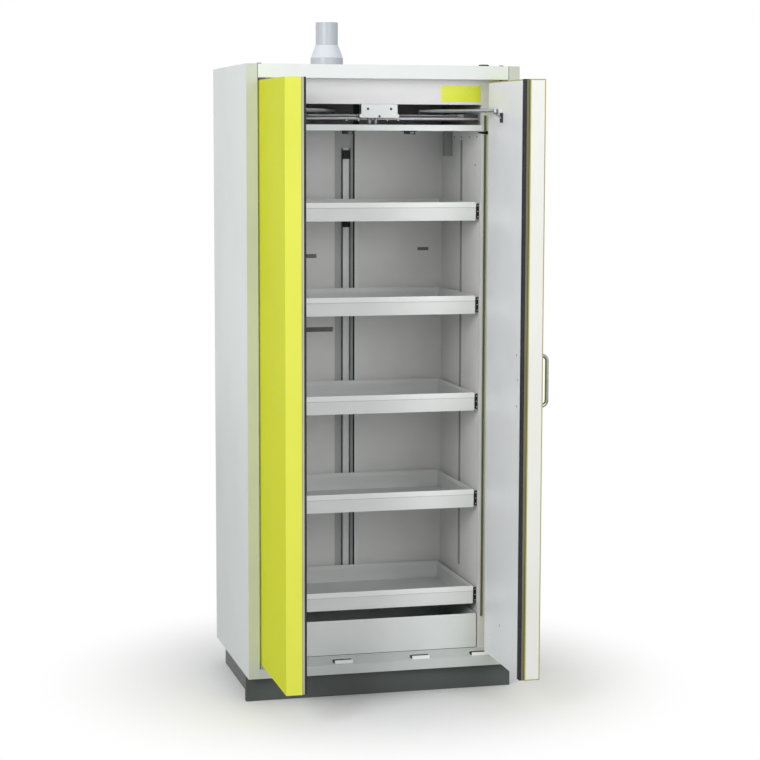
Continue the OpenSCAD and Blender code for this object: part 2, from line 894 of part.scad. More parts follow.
module exhaust_spigot() {
    collar_top = flange_t + collar_h;
    cone_top = collar_top + cone_h;
    tip = cone_top + spigot_len;
    color("lightsteelblue") from_front()
        translate([-spigot_x, body_d - spigot_back, body_h])
        rotate_extrude() polygon([
            [collar_r - spigot_t, 0], [flange_r, 0], [flange_r, flange_t],
            [collar_r, flange_t], [collar_r, collar_top], [spigot_r, cone_top],
            [spigot_r, tip], [spigot_r - spigot_t, tip], [spigot_r - spigot_t, cone_top],
            [collar_r - spigot_t, collar_top]
        ]);
}

module top_caps() {
    color("black") from_front() {
        translate([half_w - cap_inset, cap_y, body_h]) cylinder(r = cap_r, h = cap_h);
        both_sides()
            translate([half_w - plug_inset, cap_y, body_h]) cylinder(r = plug_r, h = plug_h);
    }
}

// ---- Hinges

module hinge_brackets() {
    inner_x = door_x - pivot_block_w;
    color("silver") from_front() both_sides() {
        difference() {
            block(
                [inner_x, bracket_setback, sill_z],
                [door_x, pivot_block_d, door_z - bracket_play]
            );
            bar_x(half_w) polygon([
                [-cut, sill_z - sill_rise], [rebate_d, sill_z - sill_rise],
                [rebate_d, floor_z], [0, sill_z], [-cut, sill_z]
            ]);
            translate([hinge_x, hinge_depth, sill_z]) cylinder(r = pin_r + pin_play, h = door_z);
        }
        difference() {
            block(
                [inner_x, bracket_setback, door_top + bracket_play],
                [door_x, pivot_block_d, fascia_z]
            );
            translate([hinge_x, hinge_depth, door_top])
                cylinder(r = pin_r + pin_play, h = 2 * door_top_gap);
        }
    }
}

module hinge_pins() {
    low = sill_z + sill_rise * pivot_block_d / rebate_d;
    color("darkgray") from_front() both_sides() {
        translate([hinge_x, hinge_depth, low])
            cylinder(r = pin_r, h = door_z + pin_reach - low);
        translate([hinge_x, hinge_depth, door_top - pin_reach])
            cylinder(r = pin_r, h = pin_reach + door_top_gap);
    }
}

// ---- Doors: every piece is drawn for the closed left door

module pin_holes(radius) {
    translate([-hinge_x, hinge_depth, door_z - cut]) cylinder(r = radius, h = pivot_block_h + cut);
    translate([-hinge_x, hinge_depth, door_top - pivot_block_h])
        cylinder(r = radius, h = pivot_block_h + cut);
}

module pivot_block_at(z) {
    low = [-door_x + shell_t, shell_t, z];
    translate(low) cube([pivot_block_w, pivot_block_d, pivot_block_h - shell_t]);
}

module both_pivot_blocks() {
    pivot_block_at(door_z + shell_t);
    pivot_block_at(door_top - pivot_block_h);
}

module door_shell() {
    difference() {
        block([-door_x, 0, door_z], [-free_x, shell_d, door_top]);
        block(
            [-door_x + shell_t, shell_t, door_z + shell_t],
            [-free_x - shell_t, shell_d + cut, door_top - shell_t]
        );
        pin_holes(pin_r + sheet_play);
    }
}

module door_core() {
    difference() {
        block(
            [-door_x + shell_t, shell_t, door_z + shell_t],
            [-free_x - shell_t, shell_d, door_top - shell_t]
        );
        both_pivot_blocks();
    }
}

module door_inner_plate() {
    block(
        [-door_x + plate_hinge_inset, shell_d, door_z],
        [-free_x - plate_free_inset, plate_back, door_top]
    );
}

module door_seal() {
    end_x = -free_x - plate_free_inset;
    block([end_x - seal_w, plate_back, door_z], [end_x, plate_back + seal_t, door_top]);
}

module door_pivot_blocks() {
    difference() {
        both_pivot_blocks();
        pin_holes(pin_r + pin_play);
    }
}

module door_arm_bracket() {
    lug_z = lug_top - bracket_t;
    block(
        [-pivot_x - bracket_w / 2, plate_back, arm_z + arm_half_h - bracket_h],
        [-pivot_x + bracket_w / 2, plate_back + bracket_t, arm_z + arm_half_h]
    );
    block(
        [-pivot_x - eye_r, plate_back, lug_z],
        [-pivot_x + eye_r, pivot_y, lug_top]
    );
    translate([-pivot_x, pivot_y, lug_z]) cylinder(r = eye_r, h = bracket_t);
    translate([-pivot_x, pivot_y, lug_z]) cylinder(r = arm_pin_r, h = arm_z + arm_half_h - lug_z);
}

module door_left_shell() { color("gold") hung_left() door_shell(); }
module door_right_shell() { color("gold") hung_right() door_shell(); }
module door_left_core() { color("darkgray") hung_left() door_core(); }
module door_right_core() { color("darkgray") hung_right() door_core(); }
module door_left_inner_plate() { color("whitesmoke") hung_left() door_inner_plate(); }
module door_right_inner_plate() { color("whitesmoke") hung_right() door_inner_plate(); }
module door_left_seal() { color("black") hung_left() door_seal(); }
module door_right_seal() { color("black") hung_right() door_seal(); }
module door_left_pivot_blocks() { color("silver") hung_left() door_pivot_blocks(); }
module door_right_pivot_blocks() { color("silver") hung_right() door_pivot_blocks(); }
module door_left_arm_bracket() { color("gray") hung_left() door_arm_bracket(); }
module door_right_arm_bracket() { color("gray") hung_right() door_arm_bracket(); }

module door_right_edge_plate() {
    border = edge_plate_border;
    color("ivory") hung_right()
        block(
            [-free_x, border, door_z + border],
            [-free_x + edge_plate_t, shell_d - border, door_top - border]
        );
}

// A bow of round bar on two rosettes
module handle() {
    half = handle_len / 2 - handle_r;
    reach = handle_stand - handle_r;
    color("silver") hung_right()
        translate([-free_x - handle_inset, 0, handle_z]) {
            translate([0, -reach, -half + handle_bend])
                cylinder(r = handle_r, h = 2 * (half - handle_bend));
            for (side = [0, 1]) mirror([0, 0, side]) {
                translate([0, 0, half]) rotate([90, 0, 0])
                    cylinder(r = handle_r, h = reach - handle_bend);
                translate([0, 0, half]) rotate([90, 0, 0])
                    cylinder(r = rosette_r, h = rosette_h);
                translate([0, -reach + handle_bend, half - handle_bend])
                    rotate([0, -90, 0]) rotate([0, 0, -90]) rotate_extrude(angle = 90)
                    translate([handle_bend, 0]) circle(r = handle_r);
            }
        }
}

// ---- Closer arms: drawn from the pivot along +X

module closer_arm() {
    difference() {
        union() {
            translate([0, 0, -arm_half_h]) cylinder(r = eye_r, h = 2 * arm_half_h);
            rotate([0, 90, 0]) cylinder(r = arm_r, h = arm_len);
            translate([arm_len, 0, -arm_half_h]) cylinder(r = arm_half_h, h = 2 * arm_half_h);
            translate([arm_len, 0, -roller_drop]) cylinder(r = arm_pin_r, h = roller_drop);
        }
        translate([0, 0, -arm_half_h - cut])
            cylinder(r = arm_pin_r + arm_pin_play, h = 2 * (arm_half_h + cut));
    }
    translate([arm_len, 0, -roller_drop]) difference() {
        cylinder(r = eye_r, h = roller_h);
        translate([0, 0, -cut]) cylinder(r = arm_pin_r + arm_pin_play, h = roller_h + 2 * cut);
    }
}

module closer_arm_left() {
    color("gray") from_front()
        translate([pivot_open_x, pivot_open_y, arm_z]) rotate([0, 0, arm_angle]) closer_arm();
}

module closer_arm_right() {
    mirror([1, 0, 0]) closer_arm_left();
}

// ---- Trays and runners: the right runner is drawn and mirrored

module outer_runners() {
    color("silver") from_front()
        for (top = tray_tops) both_sides()
            translate([wall_x, 0, top - tray_h / 2]) bar_y(tray_y, runner_len)
            mirror([1, 0]) channel(outer_depth, runner_h, runner_t);
}

module middle_runners(top) {
    color("gray") from_front() both_sides()
        translate([middle_x + middle_depth, 0, top - tray_h / 2]) bar_y(tray_y, runner_len)
        mirror([1, 0]) channel(middle_depth, middle_h, runner_t);
}

module tray(top) {
    bottom = top - tray_h;
    color("gainsboro") from_front() {
        difference() {
            union() {
                block([-tray_x, tray_y, bottom], [tray_x, tray_back, top]);
                block([-tray_x, tray_y - tray_band_t, top - tray_band_h], [tray_x, tray_y, top]);
            }
            block(
                [-tray_x + sheet_t, tray_y + sheet_t, bottom + sheet_t],
                [tray_x - sheet_t, tray_back - sheet_t, top + cut]
            );
        }
        both_sides()
            translate([tray_x + tray_play, 0, top - tray_h / 2]) bar_y(tray_y, runner_len)
            channel(inner_depth, inner_h, runner_t);
    }
}

module tray_1() { tray(tray_1_top); }
module tray_2() { tray(tray_2_top); }
module tray_3() { tray(tray_3_top); }
module tray_4() { tray(tray_4_top); }
module tray_5() { tray(tray_5_top); }
module middle_runners_1() { middle_runners(tray_1_top); }
module middle_runners_2() { middle_runners(tray_2_top); }
module middle_runners_3() { middle_runners(tray_3_top); }
module middle_runners_4() { middle_runners(tray_4_top); }
module middle_runners_5() { middle_runners(tray_5_top); }

module sump() {
    low = floor_z + sump_play;
    color("gainsboro") from_front() difference() {
        block([-sump_x, sump_y, low], [sump_x, sump_back, floor_z + sump_h]);
        block(
            [-sump_x + sheet_t, sump_y + sheet_t, low + sheet_t],
            [sump_x - sheet_t, sump_back - sheet_t, floor_z + sump_h + cut]
        );
    }
}

plinth_front_panel();
plinth_rails();
levelling_feet();
base_pan();
front_sill();
side_panel_left();
side_panel_right();
top_panel();
rear_panel();
insulation_boards();
front_jambs();
jamb_seals();
side_linings();
rear_boards();
floor_plate();
mechanism_shelf();
cover_plate();
centre_bracket();
bracket_bolts();
guide_rail();
rail_end_brackets();
closer_dampers();
thermal_release();
catch_blocks();
run_on_blocks();
suction_rail();
rail_clips();
air_duct();
exhaust_spigot();
top_caps();
hinge_brackets();
hinge_pins();
outer_runners();
sump();
door_left_shell();
door_left_core();
door_left_inner_plate();
door_left_seal();
door_left_pivot_blocks();
door_left_arm_bracket();
closer_arm_left();
door_right_shell();
door_right_core();
door_right_inner_plate();
door_right_seal();
door_right_pivot_blocks();
door_right_arm_bracket();
closer_arm_right();
door_right_edge_plate();
handle();
tray_1();
tray_2();
tray_3();
tray_4();
tray_5();
middle_runners_1();
middle_runners_2();
middle_runners_3();
middle_runners_4();
middle_runners_5();
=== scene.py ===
import json
import math

import bpy
from mathutils import Euler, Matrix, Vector

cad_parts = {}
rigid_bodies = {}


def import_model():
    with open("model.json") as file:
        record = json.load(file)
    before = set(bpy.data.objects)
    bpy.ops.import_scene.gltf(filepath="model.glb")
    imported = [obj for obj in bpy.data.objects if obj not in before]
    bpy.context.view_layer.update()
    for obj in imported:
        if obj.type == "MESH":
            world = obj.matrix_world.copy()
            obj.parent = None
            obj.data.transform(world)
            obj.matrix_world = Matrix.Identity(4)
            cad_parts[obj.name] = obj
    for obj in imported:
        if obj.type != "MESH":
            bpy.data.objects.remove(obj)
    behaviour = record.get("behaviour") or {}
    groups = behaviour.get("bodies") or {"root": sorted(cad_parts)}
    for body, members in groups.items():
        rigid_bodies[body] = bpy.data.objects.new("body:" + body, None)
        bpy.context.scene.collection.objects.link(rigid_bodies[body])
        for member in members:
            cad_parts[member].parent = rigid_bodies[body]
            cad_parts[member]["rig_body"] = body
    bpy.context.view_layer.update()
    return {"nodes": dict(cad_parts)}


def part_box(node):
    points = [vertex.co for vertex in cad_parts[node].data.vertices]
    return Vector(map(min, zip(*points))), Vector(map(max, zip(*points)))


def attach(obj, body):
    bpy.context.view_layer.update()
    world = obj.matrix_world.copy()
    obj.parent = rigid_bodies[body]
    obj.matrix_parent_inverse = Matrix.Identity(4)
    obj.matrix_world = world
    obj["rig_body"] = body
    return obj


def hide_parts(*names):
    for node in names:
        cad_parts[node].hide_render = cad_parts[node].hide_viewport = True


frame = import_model()
nodes = frame["nodes"]
print("frame loaded:", len(nodes), "nodes")

# The camera stands where the photo's camera stood, in front of the cabinet and to its left
camera = {
    "place": (-1.658, -6.7705, 1.8037),
    "turnDegrees": 14.24,  # to the right of straight ahead
    "tiltDegrees": -6.51,
    "rollDegrees": -0.14,
    "lens": 99.16,
    "sensor": 36,
    "farthest": 60,
}

studio = {
    "floorSize": 14,
    "floorColour": (250, 250, 250),
    "floorReturns": (213, 213, 213),  # the tone that all but the camera sees, which sends less light back up
    "floorRoughness": 0.9,
    "floorSheen": 0.1,
    "fadeStart": 0.3,  # distances between which the floor turns plain white
    "fadeEnd": 1.15,
    "worldLight": 0.46,
    "keyPlace": (-4.2, -4.6, 3.0),
    "keySize": 2.4,
    "keyPower": 158,
    "fillPlace": (1.0, -5.4, 2.3),
    "fillSize": 2.0,
    "fillPower": 47,
    "topPlace": (0.2, -0.6, 5.2),
    "topSize": 4.0,
    "topPower": 12,
    "aim": (0, 0, 1.2),
}


def fromScreen(colour):
    # A screen colour of 0 to 255 as the linear colour that a shader takes, by the sRGB formula
    linear = [c / 255 / 12.92 if c <= 10 else ((c / 255 + 0.055) / 1.055) ** 2.4 for c in colour]
    return (*linear, 1)


def makeCamera():
    bpy.ops.object.camera_add(location=camera["place"])
    eye = bpy.context.object
    eye.rotation_euler = Euler((
        math.radians(90 + camera["tiltDegrees"]),
        math.radians(camera["rollDegrees"]),
        -math.radians(camera["turnDegrees"]),
    ))
    eye.data.sensor_width = camera["sensor"]
    eye.data.lens = camera["lens"]
    eye.data.clip_end = camera["farthest"]
    bpy.context.scene.camera = eye


def makeSoftbox(lampName):
    bpy.ops.object.light_add(type="AREA", location=studio[lampName + "Place"])
    lamp = bpy.context.object
    lamp.name = lampName + "_softbox"
    lamp.data.shape = "DISK"
    lamp.data.size = studio[lampName + "Size"]
    lamp.data.energy = studio[lampName + "Power"]
    view = Vector(studio["aim"]) - Vector(studio[lampName + "Place"])
    lamp.rotation_euler = view.to_track_quat("-Z", "Y").to_euler()


def makeFloorPaper():
    # Paper that the camera sees brighter than the rest of the light does, and plain white further out
    material = bpy.data.materials.new("floorPaper")
    material.use_nodes = True
    tree = material.node_tree
    shader = tree.nodes["Principled BSDF"]
    shader.inputs["Roughness"].default_value = studio["floorRoughness"]
    shader.inputs["Specular IOR Level"].default_value = studio["floorSheen"]
    seen = tree.nodes.new("ShaderNodeLightPath")
    paper = tree.nodes.new("ShaderNodeMix")
    paper.data_type = "RGBA"
    paper.inputs["A"].default_value = fromScreen(studio["floorReturns"])
    paper.inputs["B"].default_value = fromScreen(studio["floorColour"])
    tree.links.new(seen.outputs["Is Camera Ray"], paper.inputs["Factor"])
    tree.links.new(paper.outputs["Result"], shader.inputs["Base Color"])
    place = tree.nodes.new("ShaderNodeTexCoord")
    distance = tree.nodes.new("ShaderNodeVectorMath")
    distance.operation = "LENGTH"
    fade = tree.nodes.new("ShaderNodeMapRange")
    fade.interpolation_type = "SMOOTHSTEP"
    fade.inputs["From Min"].default_value = studio["fadeStart"]
    fade.inputs["From Max"].default_value = studio["fadeEnd"]
    both = tree.nodes.new("ShaderNodeMath")
    both.operation = "MULTIPLY"
    white = tree.nodes.new("ShaderNodeEmission")
    mix = tree.nodes.new("ShaderNodeMixShader")
    tree.links.new(place.outputs["Object"], distance.inputs[0])
    tree.links.new(distance.outputs["Value"], fade.inputs["Value"])
    tree.links.new(fade.outputs["Result"], both.inputs[0])
    tree.links.new(seen.outputs["Is Camera Ray"], both.inputs[1])
    tree.links.new(both.outputs["Value"], mix.inputs["Fac"])
    tree.links.new(shader.outputs["BSDF"], mix.inputs[1])
    tree.links.new(white.outputs["Emission"], mix.inputs[2])
    tree.links.new(mix.outputs["Shader"], tree.nodes["Material Output"].inputs["Surface"])
    return material


def makeFloor():
    bpy.ops.mesh.primitive_plane_add(size=studio["floorSize"], location=(0, 0, 0))
    floor = bpy.context.object
    floor.name = "studio_floor"
    floor.data.materials.append(makeFloorPaper())


def makeWorld():
    # White behind the cabinet and in its reflections, dimmer where the surroundings light it
    world = bpy.data.worlds.new("studioWorld")
    bpy.context.scene.world = world
    world.use_nodes = True
    tree = world.node_tree
    seen = tree.nodes.new("ShaderNodeLightPath")
    shownTo = seen.outputs["Is Camera Ray"]
    for ray in ("Is Glossy Ray", "Is Transmission Ray"):
        larger = tree.nodes.new("ShaderNodeMath")
        larger.operation = "MAXIMUM"
        tree.links.new(shownTo, larger.inputs[0])
        tree.links.new(seen.outputs[ray], larger.inputs[1])
        shownTo = larger.outputs["Value"]
    strength = tree.nodes.new("ShaderNodeMapRange")
    strength.inputs["To Min"].default_value = studio["worldLight"]
    strength.inputs["To Max"].default_value = 1
    background = tree.nodes["Background"]
    background.inputs["Color"].default_value = (1, 1, 1, 1)
    tree.links.new(shownTo, strength.inputs["Value"])
    tree.links.new(strength.outputs["Result"], background.inputs["Strength"])


makeCamera()
makeFloor()
makeWorld()
for lampName in ("key", "fill", "top"):
    makeSoftbox(lampName)
bpy.context.scene.view_settings.view_transform = "Standard"
print("studio ready")


def startFinish(name, colour, roughness, metallic=0):
    material = bpy.data.materials.new(name)
    material.use_nodes = True
    shader = material.node_tree.nodes["Principled BSDF"]
    shader.inputs["Base Color"].default_value = fromScreen(colour)
    shader.inputs["Roughness"].default_value = roughness
    shader.inputs["Metallic"].default_value = metallic
    return material


def addNoise(material, scale, detail=2, stretch=(1, 1, 1)):
    # A noise in the object's own space, drawn out along an axis by a small stretch
    tree = material.node_tree
    place = tree.nodes.new("ShaderNodeTexCoord")
    mapping = tree.nodes.new("ShaderNodeMapping")
    mapping.inputs["Scale"].default_value = stretch
    noise = tree.nodes.new("ShaderNodeTexNoise")
    noise.inputs["Scale"].default_value = scale
    noise.inputs["Detail"].default_value = detail
    tree.links.new(place.outputs["Object"], mapping.inputs["Vector"])
    tree.links.new(mapping.outputs["Vector"], noise.inputs["Vector"])
    return noise.outputs["Fac"]


def addBump(material, height, strength, depth):
    tree = material.node_tree
    shader = tree.nodes["Principled BSDF"]
    bump = tree.nodes.new("ShaderNodeBump")
    bump.inputs["Strength"].default_value = strength
    bump.inputs["Distance"].default_value = depth
    tree.links.new(height, bump.inputs["Height"])
    if shader.inputs["Normal"].is_linked:
        tree.links.new(shader.inputs["Normal"].links[0].from_socket, bump.inputs["Normal"])
    tree.links.new(bump.outputs["Normal"], shader.inputs["Normal"])


usualNoise = {"low": 0.3, "high": 0.7}  # most of a noise lies between these values


def varyRoughness(material, value, low, high):
    tree = material.node_tree
    spread = tree.nodes.new("ShaderNodeMapRange")
    spread.inputs["From Min"].default_value = usualNoise["low"]
    spread.inputs["From Max"].default_value = usualNoise["high"]
    spread.inputs["To Min"].default_value = low
    spread.inputs["To Max"].default_value = high
    tree.links.new(value, spread.inputs["Value"])
    tree.links.new(spread.outputs["Result"], tree.nodes["Principled BSDF"].inputs["Roughness"])


def varyColour(material, value, first, second, low=0.35, high=0.65):
    tree = material.node_tree
    ramp = tree.nodes.new("ShaderNodeValToRGB")
    ramp.color_ramp.elements[0].position = low
    ramp.color_ramp.elements[0].color = fromScreen(first)
    ramp.color_ramp.elements[1].position = high
    ramp.color_ramp.elements[1].color = fromScreen(second)
    tree.links.new(value, ramp.inputs["Fac"])
    tree.links.new(ramp.outputs["Color"], tree.nodes["Principled BSDF"].inputs["Base Color"])


coatLook = {
    "cloudScale": 3.2, "cloudEnds": (0.3, 0.6), "peelScale": 620, "peelDepth": 0.0003, "waveScale": 14,
    "waveStrength": 0.04, "waveDepth": 0.002, "patchScale": 40, "glossier": 0.05, "duller": 0.07,
}


def powderCoat(name, colour, darker, roughness=0.42, peel=0.12):
    # Sprayed and baked paint: fine orange peel and a faint cloudiness
    look = coatLook
    material = startFinish(name, colour, roughness)
    clouds = addNoise(material, look["cloudScale"], detail=3)
    varyColour(material, clouds, darker, colour, *look["cloudEnds"])
    addBump(material, addNoise(material, look["peelScale"]), peel, look["peelDepth"])
    waves = addNoise(material, look["waveScale"], detail=1)
    addBump(material, waves, look["waveStrength"], look["waveDepth"])
    patches = addNoise(material, look["patchScale"], detail=4)
    varyRoughness(material, patches, roughness - look["glossier"], roughness + look["duller"])
    return material


zincLook = {
    "spangleScale": 55, "lineScale": 900, "lineStrength": 0.1, "lineDepth": 0.0002, "smearScale": 300,
    "glossier": 0.08, "duller": 0.12,
}


def zincPlate(name, colour, darker, roughness=0.34, stretch=(1, 0.04, 1)):
    # Bright zinc with fine rolling lines and soft spangle
    look = zincLook
    material = startFinish(name, colour, roughness, metallic=1)
    varyColour(material, addNoise(material, look["spangleScale"], detail=3), darker, colour)
    lines = addNoise(material, look["lineScale"], stretch=stretch)
    addBump(material, lines, look["lineStrength"], look["lineDepth"])
    smears = addNoise(material, look["smearScale"], detail=3, stretch=stretch)
    varyRoughness(material, smears, roughness - look["glossier"], roughness + look["duller"])
    return material


plasticLook = {
    "cloudScale": 8, "grainScale": 1500, "grainDepth": 0.0002, "patchScale": 60,
    "glossier": 0.06, "duller": 0.08,
}


def mouldedPlastic(name, colour, darker, roughness=0.5, grain=0.1):
    look = plasticLook
    material = startFinish(name, colour, roughness)
    varyColour(material, addNoise(material, look["cloudScale"]), darker, colour)
    addBump(material, addNoise(material, look["grainScale"]), grain, look["grainDepth"])
    patches = addNoise(material, look["patchScale"], detail=3)
    varyRoughness(material, patches, roughness - look["glossier"], roughness + look["duller"])
    return material


def setSheen(material, amount):
    material.node_tree.nodes["Principled BSDF"].inputs["Specular IOR Level"].default_value = amount


def darkAbove(material, height, colour):
    # Everything higher than the given height takes the dark colour
    tree = material.node_tree
    shader = tree.nodes["Principled BSDF"]
    place = tree.nodes.new("ShaderNodeTexCoord")
    split = tree.nodes.new("ShaderNodeSeparateXYZ")
    above = tree.nodes.new("ShaderNodeMath")
    above.operation = "GREATER_THAN"
    above.inputs[1].default_value = height
    mix = tree.nodes.new("ShaderNodeMix")
    mix.data_type = "RGBA"
    mix.inputs["B"].default_value = fromScreen(colour)
    tree.links.new(place.outputs["Object"], split.inputs["Vector"])
    tree.links.new(split.outputs["Z"], above.inputs[0])
    tree.links.new(above.outputs["Value"], mix.inputs["Factor"])
    tree.links.new(shader.inputs["Base Color"].links[0].from_socket, mix.inputs["A"])
    tree.links.new(mix.outputs["Result"], shader.inputs["Base Color"])


# The chamber of the closing mechanism is darker than the bays under its shelf
chamber = {"colour": (190, 190, 188), "aboveShelfFoot": 0.003}
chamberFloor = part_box("mechanism_shelf")[0].z + chamber["aboveShelfFoot"]

casingPaint = powderCoat("casingPaint", (236, 241, 240), (231, 237, 236))
innerPaint = powderCoat("innerPaint", (231, 230, 231), (226, 225, 226))
# Painted shade and painted reflection of the yellow door: a darker, greenish grey for the front faces of the
# uprights
uprightShadeAndReflection = powderCoat("uprightShadeAndReflection", (207, 213, 202), (201, 207, 196))
plinthPaint = powderCoat("plinthPaint", (82, 87, 86), (74, 79, 78), roughness=0.5, peel=0.25)
# Painted light: a lighter copy of the plinth paint for its side rails, for the light that falls on that side
plinthSideLitPaint = powderCoat("plinthSideLitPaint", (116, 120, 119), (108, 112, 111), roughness=0.5, peel=0.25)
doorPaint = powderCoat("doorPaint", (226, 233, 46), (221, 229, 40), roughness=0.5)
setSheen(doorPaint, 0.1)
# Painted highlight: a paler, lit copy of the door yellow for the left door's free edge
freeEdgeHighlight = powderCoat("freeEdgeHighlight", (230, 235, 78), (225, 231, 70), roughness=0.5)
edgePaint = powderCoat("edgePaint", (245, 246, 239), (241, 242, 235), roughness=0.35, peel=0.05)
trayPaint = powderCoat("trayPaint", (234, 237, 236), (229, 232, 231), roughness=0.4)
# Painted highlight: a brighter copy of the tray paint for the hems on the tray fronts; also the white of the
# run-on bars
trayHem = powderCoat("trayHem", (250, 251, 251), (246, 248, 248), roughness=0.35)
trayLine = powderCoat("trayLine", (196, 198, 197), (188, 190, 189), roughness=0.5)
# Painted shade: a darker grey for the air duct, for the shade on its front face
ductShadeGrey = powderCoat("ductShadeGrey", (156, 157, 156), (150, 151, 150), roughness=0.45)
# Painted shade: a darker copy of the casing paint for the sill, for the shade between the doors
sillShadePaint = powderCoat("sillShadePaint", (206, 211, 209), (200, 205, 203), roughness=0.45)
labelFoil = powderCoat("labelFoil", (230, 238, 54), (225, 234, 48), roughness=0.3, peel=0.02)
# Painted shade: the door yellow darkened to olive for the right door's front and top edges
oliveEdgeShade = powderCoat("oliveEdgeShade", (180, 176, 88), (170, 166, 80), roughness=0.6, peel=0.05)
# Painted shade: a dark olive for the front edge of the right door's inner plate
plateEdgeShade = powderCoat("plateEdgeShade", (122, 120, 86), (112, 110, 78), roughness=0.6, peel=0.05)
galvanised = zincPlate("galvanised", (190, 192, 193), (172, 174, 175))
darkSteel = zincPlate("darkSteel", (88, 90, 92), (76, 78, 80), roughness=0.4)
armSteel = zincPlate("armSteel", (176, 178, 180), (160, 162, 164), roughness=0.36, stretch=(0.05, 0.05, 1))
extruded = zincPlate("extruded", (168, 170, 172), (158, 160, 162), roughness=0.36, stretch=(0.02, 1, 1))
damperSteel = zincPlate(
    "damperSteel", (122, 124, 126), (112, 114, 116), roughness=0.3, stretch=(0.02, 1, 1),
)
handleSteel = zincPlate(
    "handleSteel", (176, 176, 180), (164, 164, 168), roughness=0.2, stretch=(1, 1, 0.03),
)
laminate = mouldedPlastic("laminate", (230, 232, 232), (226, 228, 228), roughness=0.38, grain=0.05)
liningLaminate = mouldedPlastic(
    "liningLaminate", (240, 239, 238), (235, 234, 233), roughness=0.42, grain=0.05,
)
darkAbove(liningLaminate, chamberFloor, chamber["colour"])
ductStrip = mouldedPlastic("ductStrip", (196, 198, 197), (190, 192, 191), roughness=0.45, grain=0.05)
darkAbove(ductStrip, chamberFloor, chamber["colour"])
doorLaminate = mouldedPlastic("doorLaminate", (247, 249, 250), (243, 245, 247), roughness=0.36, grain=0.05)
plateEdge = mouldedPlastic("plateEdge", (200, 199, 178), (190, 189, 168))
mineralBoard = mouldedPlastic("mineralBoard", (92, 92, 90), (78, 78, 76), roughness=0.9, grain=0.5)
blackPlastic = mouldedPlastic("blackPlastic", (26, 26, 26), (20, 20, 20))
setSheen(blackPlastic, 0.25)
greyPlastic = mouldedPlastic("greyPlastic", (198, 204, 211), (192, 198, 205), roughness=0.35, grain=0.04)
# Painted highlight: a paler copy of the spigot's grey for its cone, for the light from above
litConeGrey = mouldedPlastic(
    "litConeGrey", (230, 235, 242), (225, 230, 237), roughness=0.35, grain=0.04,
)
doorSealRubber = mouldedPlastic("doorSealRubber", (36, 38, 44), (30, 32, 37), roughness=0.7, grain=0.2)
jambSealStrip = mouldedPlastic("jambSealStrip", (100, 102, 80), (88, 90, 70), roughness=0.75, grain=0.3)
slotShade = mouldedPlastic("slotShade", (128, 126, 124), (116, 114, 112), roughness=0.6)
stripGrey = mouldedPlastic("stripGrey", (166, 166, 164), (158, 158, 156))
railWhite = mouldedPlastic("railWhite", (250, 250, 250), (246, 246, 246), roughness=0.35, grain=0.05)
# Painted shade: a mid grey for the band of the guide rail; also the grey of the rail's end brackets
railShadeAndBracketGrey = mouldedPlastic("railShadeAndBracketGrey", (138, 140, 141), (128, 130, 131), roughness=0.4, grain=0.05)
# A dark grey for the release link and the bracket screws, and painted shade on the guide rail's ends and
# foot, the arms' rollers and under the sump
darkGreyAndShade = mouldedPlastic("darkGreyAndShade", (58, 59, 60), (48, 49, 50))

# The finish of each node, where a node that isn't named here has the casing's paint
finishOf = {
    "plinth_front_panel": plinthPaint,
    "plinth_rails": plinthSideLitPaint,
    "levelling_feet": galvanised,
    "insulation_boards": mineralBoard,
    "door_left_core": mineralBoard,
    "door_right_core": mineralBoard,
    "side_linings": liningLaminate,
    "rear_boards": liningLaminate,
    "floor_plate": laminate,
    "front_sill": sillShadePaint,
    "front_jambs": innerPaint,
    "cover_plate": innerPaint,
    "rail_end_brackets": railShadeAndBracketGrey,
    "door_left_inner_plate": doorLaminate,
    "door_right_inner_plate": doorLaminate,
    "jamb_seals": jambSealStrip,
    "door_left_seal": doorSealRubber,
    "door_right_seal": doorSealRubber,
    "door_left_shell": doorPaint,
    "door_right_shell": doorPaint,
    "door_right_edge_plate": edgePaint,
    "guide_rail": extruded,
    "suction_rail": railWhite,
    "thermal_release": galvanised,
    "run_on_blocks": extruded,
    "catch_blocks": blackPlastic,
    "rail_clips": blackPlastic,
    "top_caps": blackPlastic,
    "exhaust_spigot": greyPlastic,
    "air_duct": ductShadeGrey,
    "handle": handleSteel,
    "sump": trayPaint,
    "closer_dampers": damperSteel,
    "door_left_arm_bracket": darkSteel,
    "door_right_arm_bracket": darkSteel,
    "closer_arm_left": armSteel,
    "closer_arm_right": armSteel,
    "outer_runners": galvanised,
    "hinge_brackets": galvanised,
    "hinge_pins": galvanised,
    "bracket_bolts": galvanised,
    "door_left_pivot_blocks": galvanised,
    "door_right_pivot_blocks": galvanised,
}
trayNumbers = range(1, 6)
for number in trayNumbers:
    finishOf[f"tray_{number}"] = trayPaint
    finishOf[f"middle_runners_{number}"] = galvanised
for name, thing in nodes.items():
    thing.data.materials.clear()
    thing.data.materials.append(finishOf.get(name, casingPaint))
print("finishes ready")


# The turn that lays a turned part's axis towards a side of the cabinet
towards = {
    "front": (math.radians(90), 0, 0),
    "left": (0, math.radians(-90), 0),
    "right": (0, math.radians(90), 0),
}
rounding = {
    "mergeWithin": 0.00001, "flatDegrees": 0.5, "sharpDegrees": 35, "smoothDegrees": 40, "segments": 2,
}


def pickOnly(piece):
    for thing in bpy.context.selected_objects:
        thing.select_set(False)
    piece.select_set(True)
    bpy.context.view_layer.objects.active = piece


def smoothEdges(piece, angle):
    # Rounded edges shade smoothly while the large faces beside them stay flat
    bpy.ops.object.shade_smooth_by_angle(angle=math.radians(angle))
    flat = piece.modifiers.new("flatFaces", "WEIGHTED_NORMAL")
    flat.keep_sharp = True
    bpy.ops.object.modifier_apply(modifier=flat.name)


